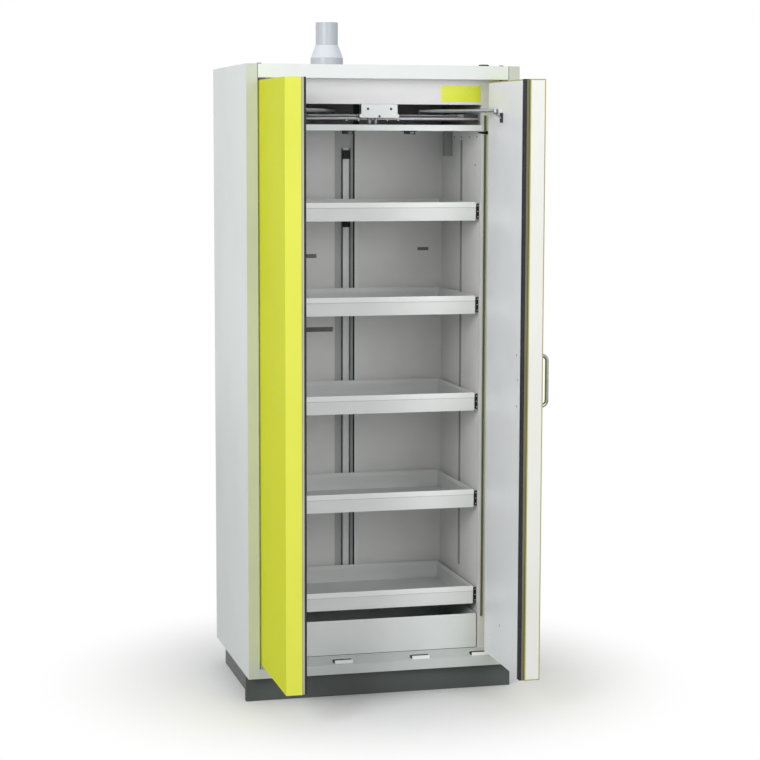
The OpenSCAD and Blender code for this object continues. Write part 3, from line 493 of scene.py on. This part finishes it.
def roundedCopy(node, width):
    # A copy of a node's mesh with its sharp edges rounded, which is shown in the node's place
    source = nodes[node]
    piece = bpy.data.objects.new(node + "_finished", source.data.copy())
    bpy.context.scene.collection.objects.link(piece)
    pickOnly(piece)
    bpy.ops.object.mode_set(mode="EDIT")
    bpy.ops.mesh.select_all(action="SELECT")
    bpy.ops.mesh.remove_doubles(threshold=rounding["mergeWithin"])
    bpy.ops.mesh.dissolve_limited(angle_limit=math.radians(rounding["flatDegrees"]))
    bpy.ops.object.mode_set(mode="OBJECT")
    if width:
        bevel = piece.modifiers.new("fold", "BEVEL")
        bevel.width = width
        bevel.segments = rounding["segments"]
        bevel.limit_method = "ANGLE"
        bevel.angle_limit = math.radians(rounding["sharpDegrees"])
        bpy.ops.object.modifier_apply(modifier=bevel.name)
    smoothEdges(piece, rounding["smoothDegrees"])
    piece.data.materials.clear()
    piece.data.materials.append(finishOf.get(node, casingPaint))
    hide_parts(node)
    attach(piece, source["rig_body"])
    return piece


def block(low, high, radius):
    # A block between two corners with all its edges rounded
    low, high = Vector(low), Vector(high)
    bpy.ops.mesh.primitive_cube_add(size=1, location=(low + high) / 2, scale=high - low)
    bpy.ops.object.transform_apply(location=False, rotation=False, scale=True)
    bpy.ops.object.mode_set(mode="EDIT")
    bpy.ops.mesh.select_all(action="SELECT")
    bpy.ops.mesh.bevel(offset=radius, segments=rounding["segments"], affect="EDGES")
    bpy.ops.object.mode_set(mode="OBJECT")
    return bpy.context.object


def turned(place, profile, steps=32, turn=(0, 0, 0)):
    # A turned part: a ring drawn out through pairs of radius and height, then laid along its axis
    place = Vector(place)
    (radius, height), *others = profile
    bpy.ops.mesh.primitive_circle_add(vertices=steps, radius=radius, fill_type="NGON", location=place)
    bpy.ops.object.mode_set(mode="EDIT")
    bpy.ops.mesh.select_all(action="SELECT")
    for nextRadius, nextHeight in others:
        bpy.ops.mesh.extrude_region_move(TRANSFORM_OT_translate={"value": (0, 0, nextHeight - height)})
        ratio = nextRadius / radius
        bpy.ops.transform.resize(value=(ratio, ratio, 1), center_override=place)
        radius, height = nextRadius, nextHeight
    bpy.ops.mesh.select_all(action="SELECT")
    bpy.ops.mesh.normals_make_consistent(inside=False)
    bpy.ops.object.mode_set(mode="OBJECT")
    bpy.context.object.rotation_euler = turn
    return bpy.context.object


def sized(shares, radius, height):
    # A profile given in shares of a radius and a height, at its real size
    return [(radius * across, height * up) for across, up in shares]


def copyBy(piece, offset):
    pickOnly(piece)
    bpy.ops.object.duplicate(linked=False)
    bpy.context.object.location += Vector(offset)
    return bpy.context.object


def mirroredCopy(piece):
    # The same piece on the other side of the cabinet's middle
    pickOnly(piece)
    bpy.ops.object.duplicate(linked=False)
    twin = bpy.context.object
    bpy.ops.object.transform_apply(location=True, rotation=True, scale=True)
    twin.scale.x = -1
    bpy.ops.object.transform_apply(location=True, rotation=True, scale=True)
    bpy.ops.object.mode_set(mode="EDIT")
    bpy.ops.mesh.select_all(action="SELECT")
    bpy.ops.mesh.normals_make_consistent(inside=False)
    bpy.ops.object.mode_set(mode="OBJECT")
    return twin


def settle(piece, name, body, finish, smooth=35):
    # The piece's place goes into its mesh, and it takes its name, body and finish
    pickOnly(piece)
    bpy.ops.object.transform_apply(location=True, rotation=True, scale=True)
    smoothEdges(piece, smooth)
    piece.name = name
    piece.data.materials.clear()
    piece.data.materials.append(finish)
    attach(piece, body)


def settlePair(piece, name, body, finish):
    # The piece on the right and its twin on the left, where a star stands for the side in a name
    settle(mirroredCopy(piece), name.replace("*", "left"), body.replace("*", "left"), finish)
    settle(piece, name.replace("*", "right"), body.replace("*", "right"), finish)


def settleRow(piece, places, name, finish):
    # The piece, which stands at the first of the places along X, and a copy at each of the others
    first, *others = places
    for number, place in enumerate(others, 2):
        settle(copyBy(piece, (place - first, 0, 0)), f"{name}_{number}", "cabinet", finish)
    settle(piece, f"{name}_1", "cabinet", finish)


# Folded sheets and plates come from the frame, each with this radius on its edges, where 0 leaves them sharp
edgeRadius = {
    "side_panel_left": 0.0007, "side_panel_right": 0.0007, "top_panel": 0.0007, "front_sill": 0.0006,
    "front_jambs": 0.0006, "cover_plate": 0.0006, "mechanism_shelf": 0.0006, "plinth_front_panel": 0.0008,
    "rear_panel": 0.0003, "plinth_rails": 0.0006, "rear_boards": 0.0006, "side_linings": 0.0006,
    "door_left_shell": 0.0005, "door_right_shell": 0.0005, "door_left_inner_plate": 0.0008,
    "door_right_inner_plate": 0.0008, "door_left_seal": 0.002, "door_right_seal": 0.002,
    "door_right_edge_plate": 0.0003, "sump": 0.0006, "centre_bracket": 0.0004, "guide_rail": 0.0006,
    "rail_end_brackets": 0.0006, "suction_rail": 0.0005, "rail_clips": 0.0008,
    "hinge_brackets": 0.0004, "air_duct": 0.0012, "handle": 0, "closer_arm_left": 0, "closer_arm_right": 0,
    "hinge_pins": 0, "door_left_arm_bracket": 0.0004, "door_right_arm_bracket": 0.0004, "levelling_feet": 0,
    "outer_runners": 0.0003, "jamb_seals": 0.001, "floor_plate": 0.0004, "base_pan": 0.0003,
}
for number in trayNumbers:
    edgeRadius[f"tray_{number}"] = 0.0005
    edgeRadius[f"middle_runners_{number}"] = 0.0003
finished = {name: roundedCopy(name, width) for name, width in edgeRadius.items()}
print("folded sheets rounded")


def paintFaces(piece, finish, low, high):
    # Faces with their centre between two corners take another finish
    low, high = Vector(low), Vector(high)
    piece.data.materials.append(finish)
    number = len(piece.data.materials) - 1
    for face in piece.data.polygons:
        if all(least <= place <= most for least, place, most in zip(low, face.center, high)):
            face.material_index = number


def paintPart(node, finish, **limits):
    # The faces of a finished node between the limits, and from edge to edge where no limit is given
    low, high = (corner.copy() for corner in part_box(node))
    for axis in "xyz":
        setattr(low, axis, limits.get(axis + "From", getattr(low, axis)))
        setattr(high, axis, limits.get(axis + "To", getattr(high, axis)))
    paintFaces(finished[node], finish, low, high)


def cutAcross(node, axis, place):
    # An edge all round a finished node at a place along an axis, so that its two sides can differ
    normal = Vector([float(axis == letter) for letter in "xyz"])
    pickOnly(finished[node])
    bpy.ops.object.mode_set(mode="EDIT")
    bpy.ops.mesh.select_all(action="SELECT")
    bpy.ops.mesh.bisect(plane_co=normal * place, plane_no=normal)
    bpy.ops.object.mode_set(mode="OBJECT")


rearBoards = {"stripLeft": -0.038, "stripRight": 0.029, "postRight": 0.047, "jointHalf": 0.001}


def paintRearBoards():
    # A strip over the duct, a post beside it and the dark joint between them
    joint, half = rearBoards["stripRight"], rearBoards["jointHalf"]
    paintPart("rear_boards", ductStrip, xFrom=rearBoards["stripLeft"], xTo=joint)
    paintPart("rear_boards", casingPaint, xFrom=joint, xTo=rearBoards["postRight"])
    paintPart("rear_boards", blackPlastic, xFrom=joint - half, xTo=joint + half)


guideRail = {"lipBottom": 1.8733, "lipTop": 1.8795, "bandEnd": 0.286}


def paintGuideRail():
    # A bright lip, with painted shade around it: a grey band above it between darker ends, and a dark foot
    # below
    bottom, top, end = guideRail["lipBottom"], guideRail["lipTop"], guideRail["bandEnd"]
    for axis, place in (("z", bottom), ("z", top), ("x", -end), ("x", end)):
        cutAcross("guide_rail", axis, place)
    paintPart("guide_rail", railShadeAndBracketGrey, xFrom=-end, xTo=end, zFrom=top)
    paintPart("guide_rail", darkGreyAndShade, xTo=-end, zFrom=top)
    paintPart("guide_rail", darkGreyAndShade, xFrom=end, zFrom=top)
    paintPart("guide_rail", darkGreyAndShade, zTo=bottom)


mechanismPaint = {"lipDepth": 0.0025, "rollerLength": 0.014, "bracketMiddle": 0.343, "bracketHalf": 0.003}


def paintMechanism():
    # Painted shade on the lips of the suction rail and on the arms' rollers, and a pale middle on each arm's
    # bracket
    lip, roller = mechanismPaint["lipDepth"], mechanismPaint["rollerLength"]
    middle, half = mechanismPaint["bracketMiddle"], mechanismPaint["bracketHalf"]
    paintPart("suction_rail", blackPlastic, yTo=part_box("suction_rail")[1].y - lip)
    paintPart("closer_arm_right", darkGreyAndShade, xTo=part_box("closer_arm_right")[0].x + roller)
    paintPart("closer_arm_left", darkGreyAndShade, xFrom=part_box("closer_arm_left")[1].x - roller)
    for side, place in (("right", middle), ("left", -middle)):
        paintPart(f"door_{side}_arm_bracket", doorLaminate, xFrom=place - half, xTo=place + half)


frontFaces = {"doorDepth": 0.0008, "uprightDepth": 0.0003, "topBand": 0.0035}


def paintFront(node, finish, depth):
    paintPart(node, finish, yTo=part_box(node)[0].y + depth)


def paintFrontFaces():
    # The free edges of the doors with painted shade (right) and a painted highlight (left), the front faces
    # of the uprights with painted shade and reflection, and the upper hinge brackets
    depth = frontFaces["doorDepth"]
    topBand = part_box("door_right_inner_plate")[1].z - frontFaces["topBand"]
    # Painted shade: an olive band along the top of the right door's inner plate
    cutAcross("door_right_inner_plate", "z", topBand)
    paintPart("door_right_inner_plate", oliveEdgeShade, zFrom=topBand)
    # Painted shade: olive on the front edges of the right door's inner plate and shell
    paintFront("door_right_inner_plate", plateEdgeShade, depth)
    paintFront("door_right_shell", oliveEdgeShade, depth)
    paintFront("door_left_inner_plate", plateEdge, depth)
    # Painted highlight: a paler, lit yellow on the left door's free edge
    paintFront("door_left_shell", freeEdgeHighlight, depth)
    # Painted shade and reflection of the yellow door on the front faces of the uprights
    for side in ("left", "right"):
        paintFront(f"side_panel_{side}", uprightShadeAndReflection, frontFaces["uprightDepth"])
    low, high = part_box("hinge_brackets")
    paintPart("hinge_brackets", darkSteel, zFrom=(low.z + high.z) / 2)


trayFront = {
    "hemHigh": 0.017, "hemThick": 0.002, "line": 0.0014, "sumpShadeHeight": 0.0015,
    "slack": 0.0001,  # room for rounding where faces are picked by their place
}


def paintTrays():
    # A painted highlight on the hem along each tray's front with a thin line under it, and painted shade
    # under the sump
    slack = trayFront["slack"]
    for number in trayNumbers:
        node = f"tray_{number}"
        low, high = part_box(node)
        hemBottom = high.z - trayFront["hemHigh"] - slack
        lineBottom = high.z - trayFront["hemHigh"] - trayFront["line"]
        face = low.y + trayFront["hemThick"]
        cutAcross(node, "z", lineBottom)
        paintPart(node, trayHem, yTo=face - 2 * slack, zFrom=hemBottom)
        paintPart(node, trayLine, yTo=face + slack, zFrom=lineBottom, zTo=hemBottom + 2 * slack)
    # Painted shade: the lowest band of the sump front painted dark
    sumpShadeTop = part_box("sump")[0].z + trayFront["sumpShadeHeight"]
    cutAcross("sump", "z", sumpShadeTop)
    paintPart("sump", darkGreyAndShade, zTo=sumpShadeTop)


paintRearBoards()
paintGuideRail()
paintMechanism()
paintFrontFaces()
paintTrays()
print("bands and edges painted")


spigot = {
    "flangeRadius": 0.075, "flangeTop": 0.002, "collarRadius": 0.055, "collarTop": 0.039,
    "grooveLow": 0.009, "grooveHigh": 0.012, "grooveDepth": 0.0012, "coneTop": 0.082,
    "pipeRadius": 0.0375, "pipeTop": 0.157, "wall": 0.0026, "soft": 0.0006, "floor": 0.07, "floorHole": 0.001,
}


def makeSpigot():
    # A flange, a grooved collar, a cone and an open pipe with a wall and a floor inside
    low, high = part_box("exhaust_spigot")
    flange, collar, pipe = spigot["flangeRadius"], spigot["collarRadius"], spigot["pipeRadius"]
    flangeTop, collarTop = spigot["flangeTop"], spigot["collarTop"]
    coneTop, pipeTop = spigot["coneTop"], spigot["pipeTop"]
    groove, bore, soft = collar - spigot["grooveDepth"], pipe - spigot["wall"], spigot["soft"]
    profile = [
        (flange, 0),
        (flange, flangeTop - soft),
        (flange - soft, flangeTop),
        (collar + 3 * soft, flangeTop),
        (collar, flangeTop + 3 * soft),
        (collar, spigot["grooveLow"]),
        (groove, spigot["grooveLow"] + soft),
        (groove, spigot["grooveHigh"] - soft),
        (collar, spigot["grooveHigh"]),
        (collar, collarTop - 2 * soft),
        (collar - soft, collarTop),
        (pipe + 2 * soft, coneTop - soft),
        (pipe, coneTop + 2 * soft),
        (pipe, pipeTop - soft),
        (pipe - soft, pipeTop),
        (bore + soft, pipeTop),
        (bore, pipeTop - soft),
        (bore, spigot["floor"]),
        (spigot["floorHole"], spigot["floor"]),
    ]
    piece = turned(((low.x + high.x) / 2, (low.y + high.y) / 2, low.z), profile, steps=96)
    settle(piece, "exhaust_spigot_finished", "cabinet", greyPlastic, smooth=25)
    # Painted highlight: the cone in a paler grey
    paintFaces(piece, litConeGrey, (low.x, low.y, low.z + collarTop), (high.x, high.y, low.z + coneTop))
    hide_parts("exhaust_spigot")


topCaps = {
    "y": -0.26,
    "capX": 0.338, "capRadius": 0.017, "capHeight": 0.0055,
    "capShares": ((1, 0), (1, 0.6), (0.93, 0.85), (0.8, 1), (0.45, 1), (0.4, 0.8), (0.1, 0.75)),
    "plugX": 0.3965, "plugRadius": 0.007, "plugHeight": 0.0035,
    "plugShares": ((1, 0), (1, 0.75), (0.9, 1), (0.5, 1), (0.1, 1)),
}


def makeTopCaps():
    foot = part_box("top_caps")[0].z
    cap = turned(
        (topCaps["capX"], topCaps["y"], foot),
        sized(topCaps["capShares"], topCaps["capRadius"], topCaps["capHeight"]), steps=48,
    )
    settle(cap, "top_cap", "cabinet", blackPlastic)
    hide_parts("top_caps")
    plug = turned(
        (topCaps["plugX"], topCaps["y"], foot),
        sized(topCaps["plugShares"], topCaps["plugRadius"], topCaps["plugHeight"]),
    )
    settlePair(plug, "top_plug_*", "cabinet", blackPlastic)


blankLabel = {"left": 0.203, "right": 0.336, "bottom": 1.930, "top": 1.982, "thick": 0.0006, "soft": 0.0002}


def makeLabel():
    sizes = blankLabel
    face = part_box("cover_plate")[0].y
    piece = block(
        (sizes["left"], face - sizes["thick"], sizes["bottom"]),
        (sizes["right"], face, sizes["top"]), sizes["soft"],
    )
    settle(piece, "blank_label", "cabinet", labelFoil)


seams = {"x": 0.4095, "half": 0.0012, "proud": 0.0001, "deep": 0.004, "soft": 0.00005}


def makeSeams():
    # Dark joints between the fascia and the side panels
    low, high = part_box("top_panel")
    seam = block(
        (seams["x"] - seams["half"], low.y - seams["proud"], low.z),
        (seams["x"] + seams["half"], low.y + seams["deep"], high.z - seams["proud"]), seams["soft"],
    )
    settlePair(seam, "fascia_seam_*", "cabinet", slotShade)


makeSpigot()
makeTopCaps()
makeLabel()
makeSeams()
print("spigot, caps, label and joints made")


dampers = {
    "y": -0.217, "inner": 0.0675, "outer": 0.2635, "radius": 0.0048, "chamfer": 0.0008,
    "groove": (0.006, 0.0066, 0.0078, 0.0084),
    "shoulder": 0.002, "rodLength": 0.03, "rodRadius": 0.0028, "eyeLength": 0.007,
    "endShare": 0.6, "grooveShare": 0.85, "shoulderShare": 0.8, "eyeShare": 0.9,  # of the radius
}


def makeDampers():
    # A tube with a groove near its inner end and a rod with an eye at its outer end
    sizes = dampers
    low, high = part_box("closer_dampers")
    radius, length = sizes["radius"], sizes["outer"] - sizes["inner"]
    rod, end, eye = sizes["rodRadius"], radius * sizes["endShare"], radius * sizes["eyeShare"]
    grooveStart, floorStart, floorEnd, grooveEnd = sizes["groove"]
    tubeEnd, eyeStart = length - sizes["rodLength"], length - sizes["eyeLength"]
    profile = [
        (end, 0),
        (radius, sizes["chamfer"]),
        (radius, grooveStart),
        (radius * sizes["grooveShare"], floorStart),
        (radius * sizes["grooveShare"], floorEnd),
        (radius, grooveEnd),
        (radius, tubeEnd - sizes["shoulder"]),
        (radius * sizes["shoulderShare"], tubeEnd),
        (rod, tubeEnd),
        (rod, eyeStart),
        (eye, eyeStart),
        (eye, length - sizes["chamfer"]),
        (end, length),
    ]
    piece = turned((sizes["inner"], sizes["y"], (low.z + high.z) / 2), profile, turn=towards["right"])
    settlePair(piece, "closer_damper_*", "cabinet", damperSteel)
    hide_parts("closer_dampers")


boltHeads = {
    "x": 0.049, "z": 1.8864, "radius": 0.005, "shank": 0.0025,
    "headShares": ((1, 0), (1, 0.25), (0.86, 0.25), (0.86, 0.8), (0.74, 1), (0.4, 1), (0.36, 0.5)),
}


def makeBoltHeads():
    # A shank through the bracket and a stepped head with a socket in front of it
    low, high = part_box("bracket_bolts")
    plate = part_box("centre_bracket")[0].y
    shank, reach = boltHeads["shank"], high.y - plate
    head = sized(boltHeads["headShares"], boltHeads["radius"], plate - low.y)
    profile = [(shank, 0), (shank, reach)] + [(radius, reach + rise) for radius, rise in head]
    piece = turned((boltHeads["x"], high.y, boltHeads["z"]), profile, steps=24, turn=towards["front"])
    settlePair(piece, "bracket_bolt_*", "cabinet", edgePaint)
    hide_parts("bracket_bolts")


release = {
    "left": -0.037, "right": 0.001, "plateFoot": 0.004, "plateThick": 0.002, "soft": 0.0004,
    "hooks": (-0.033, -0.013), "hookWidth": 0.007, "hookDrop": 0.0062, "hookRise": 0.006,
    "linkInset": 0.002, "linkFront": 0.001, "linkBack": 0.004, "linkDrop": 0.001, "linkRise": 0.002,
    "rivets": (-0.030, -0.018, -0.006), "rivetRadius": 0.0022, "rivetHeight": 0.0016, "rivetDrop": 0.003,
    "rivetShares": ((1, 0), (1, 0.4), (0.8, 0.8), (0.3, 1)),
}


def makeRelease():
    # Fusible link: a plate with a row of rivets that holds two hooks and a link between them
    sizes = release
    low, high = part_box("thermal_release")
    back = high.y - sizes["plateThick"]
    plate = block(
        (sizes["left"], back, low.z + sizes["plateFoot"]),
        (sizes["right"], high.y, high.z), sizes["soft"],
    )
    settle(plate, "release_plate", "cabinet", darkSteel)
    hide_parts("thermal_release")
    hook = block(
        (sizes["hooks"][0], low.y, low.z - sizes["hookDrop"]),
        (sizes["hooks"][0] + sizes["hookWidth"], back, low.z + sizes["hookRise"]), sizes["soft"],
    )
    settleRow(hook, sizes["hooks"], "release_hook", stripGrey)
    inset = sizes["linkInset"]
    link = block(
        (sizes["left"] + inset, low.y + sizes["linkFront"], low.z - sizes["linkDrop"]),
        (sizes["right"] - inset, low.y + sizes["linkBack"], low.z + sizes["linkRise"]), sizes["soft"],
    )
    settle(link, "release_link", "cabinet", darkGreyAndShade)
    shape = sized(sizes["rivetShares"], sizes["rivetRadius"], sizes["rivetHeight"])
    place = (sizes["rivets"][0], back, high.z - sizes["rivetDrop"])
    rivet = turned(place, shape, steps=20, turn=towards["front"])
    settleRow(rivet, sizes["rivets"], "release_rivet", galvanised)


railRivets = {"x": (-0.1034, -0.0642, 0.0306, 0.0668), "z": 1.8698, "radius": 0.0024, "height": 0.0014}
bracketScrews = {
    "places": ((-0.038, 1.906), (0.038, 1.906), (0, 1.8825)),
    "radius": 0.0042, "height": 0.0012, "sunk": 0.0006,
}
railEnds = {"x": 0.3425, "z": 1.8717, "radius": 0.003, "height": 0.0014}
panShares = ((1, 0), (1, 0.35), (0.88, 0.8), (0.65, 1), (0.42, 1), (0.34, 0.3))


def screwHead(place, radius, height):
    # A pan head with a socket, seen from the front
    return turned(place, sized(panShares, radius, height), steps=24, turn=towards["front"])


def makeSmallHeads():
    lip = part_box("guide_rail")[0].y
    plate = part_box("centre_bracket")[0].y + bracketScrews["sunk"]
    for number, x in enumerate(railRivets["x"], 1):
        rivet = screwHead((x, lip, railRivets["z"]), railRivets["radius"], railRivets["height"])
        settle(rivet, f"rail_rivet_{number}", "cabinet", edgePaint)
    for number, (x, z) in enumerate(bracketScrews["places"], 1):
        screw = screwHead((x, plate, z), bracketScrews["radius"], bracketScrews["height"])
        settle(screw, f"bracket_screw_{number}", "cabinet", darkGreyAndShade)
    screw = screwHead((railEnds["x"], lip, railEnds["z"]), railEnds["radius"], railEnds["height"])
    settlePair(screw, "rail_end_screw_*", "cabinet", darkSteel)


makeDampers()
makeBoltHeads()
makeRelease()
makeSmallHeads()
print("closing mechanism made")


wallStrip = {"front": -0.001, "back": 0.021, "bottom": 0.363, "top": 1.808, "thick": 0.0005, "soft": 0.00015}
wallHoles = {
    "liningThick": 0.002,
    "places": ((-0.166, 1.818), (-0.080, 1.818), (0.009, 1.818), (0.096, 1.818), (-0.151, 1.727)),
    "radius": 0.003, "height": 0.0005,
    "shares": ((1, 0), (1, 0.6), (0.9, 1), (0.7, 1), (0.6, 0.2)),
}


def makeWallFittings():
    # A pale strip up each wall, and rimmed holes above and beside it
    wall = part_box("side_linings")[1].x - wallHoles["liningThick"]
    strip = block(
        (wall - wallStrip["thick"], wallStrip["front"], wallStrip["bottom"]),
        (wall, wallStrip["back"], wallStrip["top"]), wallStrip["soft"],
    )
    settlePair(strip, "wall_strip_*", "cabinet", stripGrey)
    shape = sized(wallHoles["shares"], wallHoles["radius"], wallHoles["height"])
    for number, (y, z) in enumerate(wallHoles["places"], 1):
        hole = turned((wall, y, z), shape, steps=24, turn=towards["left"])
        settlePair(hole, f"wall_hole_*_{number}", "cabinet", blackPlastic)


ventSlots = {
    "places": (  # left, right, bottom and top
        (-0.138, -0.045, 1.151, 1.167),
        (-0.138, -0.103, 1.405, 1.419),
        (0.256, 0.295, 1.428, 1.439),
    ),
    "boardFace": 0.008,  # behind the front edge of the rear boards
    "thick": 0.0006,
    "soft": 0.0002,
}


def makeVentSlots():
    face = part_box("rear_boards")[0].y + ventSlots["boardFace"]
    for number, (left, right, bottom, top) in enumerate(ventSlots["places"], 1):
        slot = block((left, face - ventSlots["thick"], bottom), (right, face, top), ventSlots["soft"])
        settle(slot, f"vent_slot_{number}", "cabinet", slotShade)


runOns = {
    "centres": (-0.334, -0.130, 0.130, 0.334), "half": 0.030, "barDepth": 0.006, "soft": 0.0008,
    "slotDrop": 0.0004, "shadowReachLeft": 0.003, "slotRight": -0.002,
}


def makeRunOns():
    # A bright bar in front of a black slot, which is partly painted shadow of the bar and so reaches a little
    # further to the left
    low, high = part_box("run_on_blocks")
    left, right = runOns["centres"][0] - runOns["half"], runOns["centres"][0] + runOns["half"]
    barBack = low.y + runOns["barDepth"]
    bar = block((left, low.y, low.z), (right, barBack, high.z), runOns["soft"])
    slot = block(
        (left - runOns["shadowReachLeft"], barBack, low.z),
        (right + runOns["slotRight"], high.y, high.z - runOns["slotDrop"]), runOns["soft"],
    )
    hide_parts("run_on_blocks")
    settleRow(bar, runOns["centres"], "run_on_bar", trayHem)
    settleRow(slot, runOns["centres"], "run_on_slot_and_shadow", blackPlastic)


endCaps = {
    "outer": (0.3392, 0.3449, 0.0265),  # left, right and half the height
    "middle": (0.3346, 0.3388, 0.0250),
    "inner": (0.3302, 0.3342, 0.0235),
    "thick": 0.002, "gap": 0.0002, "soft": 0.0005,
    "studRises": (-0.018, 0, 0.018), "studRadius": 0.0015, "studHeight": 0.0006, "studSunk": 0.0002,
    "studShares": ((1, 0), (1, 1), (0.6, 1.4)),
}


def makeEndCaps():
    # Black caps on the front ends of the runner members, one to each member, and pale studs on the middle one
    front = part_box("outer_runners")[0].y
    face = front - endCaps["thick"]
    shape = sized(endCaps["studShares"], endCaps["studRadius"], endCaps["studHeight"])
    studX = sum(endCaps["middle"][:2]) / 2
    for number in trayNumbers:
        low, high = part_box(f"middle_runners_{number}")
        middle = (low.z + high.z) / 2
        runners = f"runners_{number}"
        for member, body in (("outer", "cabinet"), ("middle", runners), ("inner", f"tray_{number}")):
            left, right, half = endCaps[member]
            cap = block(
                (left, face, middle - half),
                (right, front - endCaps["gap"], middle + half), endCaps["soft"],
            )
            settlePair(cap, f"{member}_cap_{number}_*", body, blackPlastic)
        for row, rise in enumerate(endCaps["studRises"], 1):
            place = (studX, face + endCaps["studSunk"], middle + rise)
            stud = turned(place, shape, steps=16, turn=towards["front"])
            settlePair(stud, f"cap_stud_{number}_{row}_*", runners, edgePaint)


catches = {
    "centre": 0.102, "half": 0.0175, "soft": 0.0008,
    "flangeHalf": 0.0235, "flangeThick": 0.0016, "flangeProud": 0.0008, "flangeSoft": 0.0003,
    "latchShift": 0.006, "latchHalf": 0.0065, "latchHigh": 0.0055, "latchProud": 0.0008, "latchDeep": 0.001,
    "latchSoft": 0.0004,
    "jambInner": 0.328, "jambOuter": 0.360, "jambBack": -0.234, "taper": 0.35,
}


def narrowEnd(piece, share, centre):
    # The half of a block that lies on the side of the smaller X becomes lower
    bpy.ops.object.mode_set(mode="EDIT")
    bpy.ops.mesh.select_all(action="DESELECT")
    bpy.ops.object.mode_set(mode="OBJECT")
    for corner in piece.data.vertices:
        corner.select = corner.co.x < 0
    bpy.ops.object.mode_set(mode="EDIT")
    bpy.ops.transform.resize(value=(1, 1, share), center_override=centre)
    bpy.ops.object.mode_set(mode="OBJECT")


def makeCatches():
    # Black catches: two under the shelf with a flange and a pale latch, and two that taper on the jambs
    sizes = catches
    low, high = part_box("catch_blocks")
    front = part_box("mechanism_shelf")[0].y
    bodyTop = high.z - sizes["flangeThick"]
    middle = (low.z + bodyTop) / 2
    body = block(
        (sizes["centre"] - sizes["half"], front, low.z),
        (sizes["centre"] + sizes["half"], high.y, bodyTop), sizes["soft"],
    )
    flange = block(
        (sizes["centre"] - sizes["flangeHalf"], front - sizes["flangeProud"], bodyTop),
        (sizes["centre"] + sizes["flangeHalf"], high.y, high.z), sizes["flangeSoft"],
    )
    latchX, rise = sizes["centre"] + sizes["latchShift"], sizes["latchHigh"] / 2
    latch = block(
        (latchX - sizes["latchHalf"], front - sizes["latchProud"], middle - rise),
        (latchX + sizes["latchHalf"], front + sizes["latchDeep"], middle + rise), sizes["latchSoft"],
    )
    jamb = block(
        (sizes["jambInner"], low.y, low.z),
        (sizes["jambOuter"], sizes["jambBack"], high.z), sizes["soft"],
    )
    narrowEnd(jamb, sizes["taper"], (sizes["jambInner"], 0, (low.z + high.z) / 2))
    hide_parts("catch_blocks")
    for piece, name in ((body, "catch"), (flange, "catch_flange"), (jamb, "jamb_catch")):
        settlePair(piece, name + "_*", "cabinet", blackPlastic)
    settle(copyBy(latch, (-2 * sizes["centre"], 0, 0)), "catch_latch_left", "cabinet", slotShade)
    settle(latch, "catch_latch_right", "cabinet", slotShade)


makeWallFittings()
makeVentSlots()
makeRunOns()
makeEndCaps()
makeCatches()
print("inside fittings made")


doorScrews = {
    "pale": ((1, -0.308, 1.942), (3, -0.339, 0.185), (4, -0.633, 0.184)),
    "zinc": ((2, -0.458, 0.254), (5, -0.608, 1.145), (6, -0.613, 0.985), (7, -0.617, 1.069)),
    "radius": 0.0035, "height": 0.0014,
    "shares": ((1, 0), (1, 0.3), (0.85, 0.75), (0.6, 1), (0.38, 1), (0.3, 0.4)),
}


def makeDoorScrews():
    # Screws in the inner plates of both doors, some with a painted head
    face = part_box("door_right_inner_plate")[0].x
    shape = sized(doorScrews["shares"], doorScrews["radius"], doorScrews["height"])
    for kind, finish in (("pale", edgePaint), ("zinc", galvanised)):
        for number, y, z in doorScrews[kind]:
            screw = turned((face, y, z), shape, steps=24, turn=towards["left"])
            settlePair(screw, f"door_*_screw_{number}", "door_*", finish)


armFoot = {
    "front": -0.448, "back": -0.426, "bottom": 1.862, "top": 1.893, "thick": 0.005, "soft": 0.0012,
    "linkStart": (0.335, -0.404, 1.8892), "linkEnd": (0.3425, -0.440, 1.876), "linkRadius": 0.0028,
    "tipLength": 0.001, "tipShare": 0.7, "waist": (0.45, 0.5, 0.55), "waistShare": 0.8,
}


def makeArmFeet():
    # A dark foot on the door beside the arm's pivot, and a round link from the pivot down to it
    sizes = armFoot
    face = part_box("door_right_inner_plate")[0].x
    foot = block(
        (face - sizes["thick"], sizes["front"], sizes["bottom"]),
        (face, sizes["back"], sizes["top"]), sizes["soft"],
    )
    settlePair(foot, "arm_foot_*", "door_*", darkSteel)
    path = Vector(sizes["linkEnd"]) - Vector(sizes["linkStart"])
    radius, length = sizes["linkRadius"], path.length
    tip = radius * sizes["tipShare"]
    waistStart, waistMiddle, waistEnd = (length * share for share in sizes["waist"])
    profile = [
        (tip, 0),
        (radius, sizes["tipLength"]),
        (radius, waistStart),
        (radius * sizes["waistShare"], waistMiddle),
        (radius, waistEnd),
        (radius, length - sizes["tipLength"]),
        (tip, length),
    ]
    link = turned(sizes["linkStart"], profile, steps=20, turn=path.to_track_quat("Z", "Y").to_euler())
    settlePair(link, "arm_link_*", "door_*", armSteel)


makeDoorScrews()
makeArmFeet()
print("door parts made")
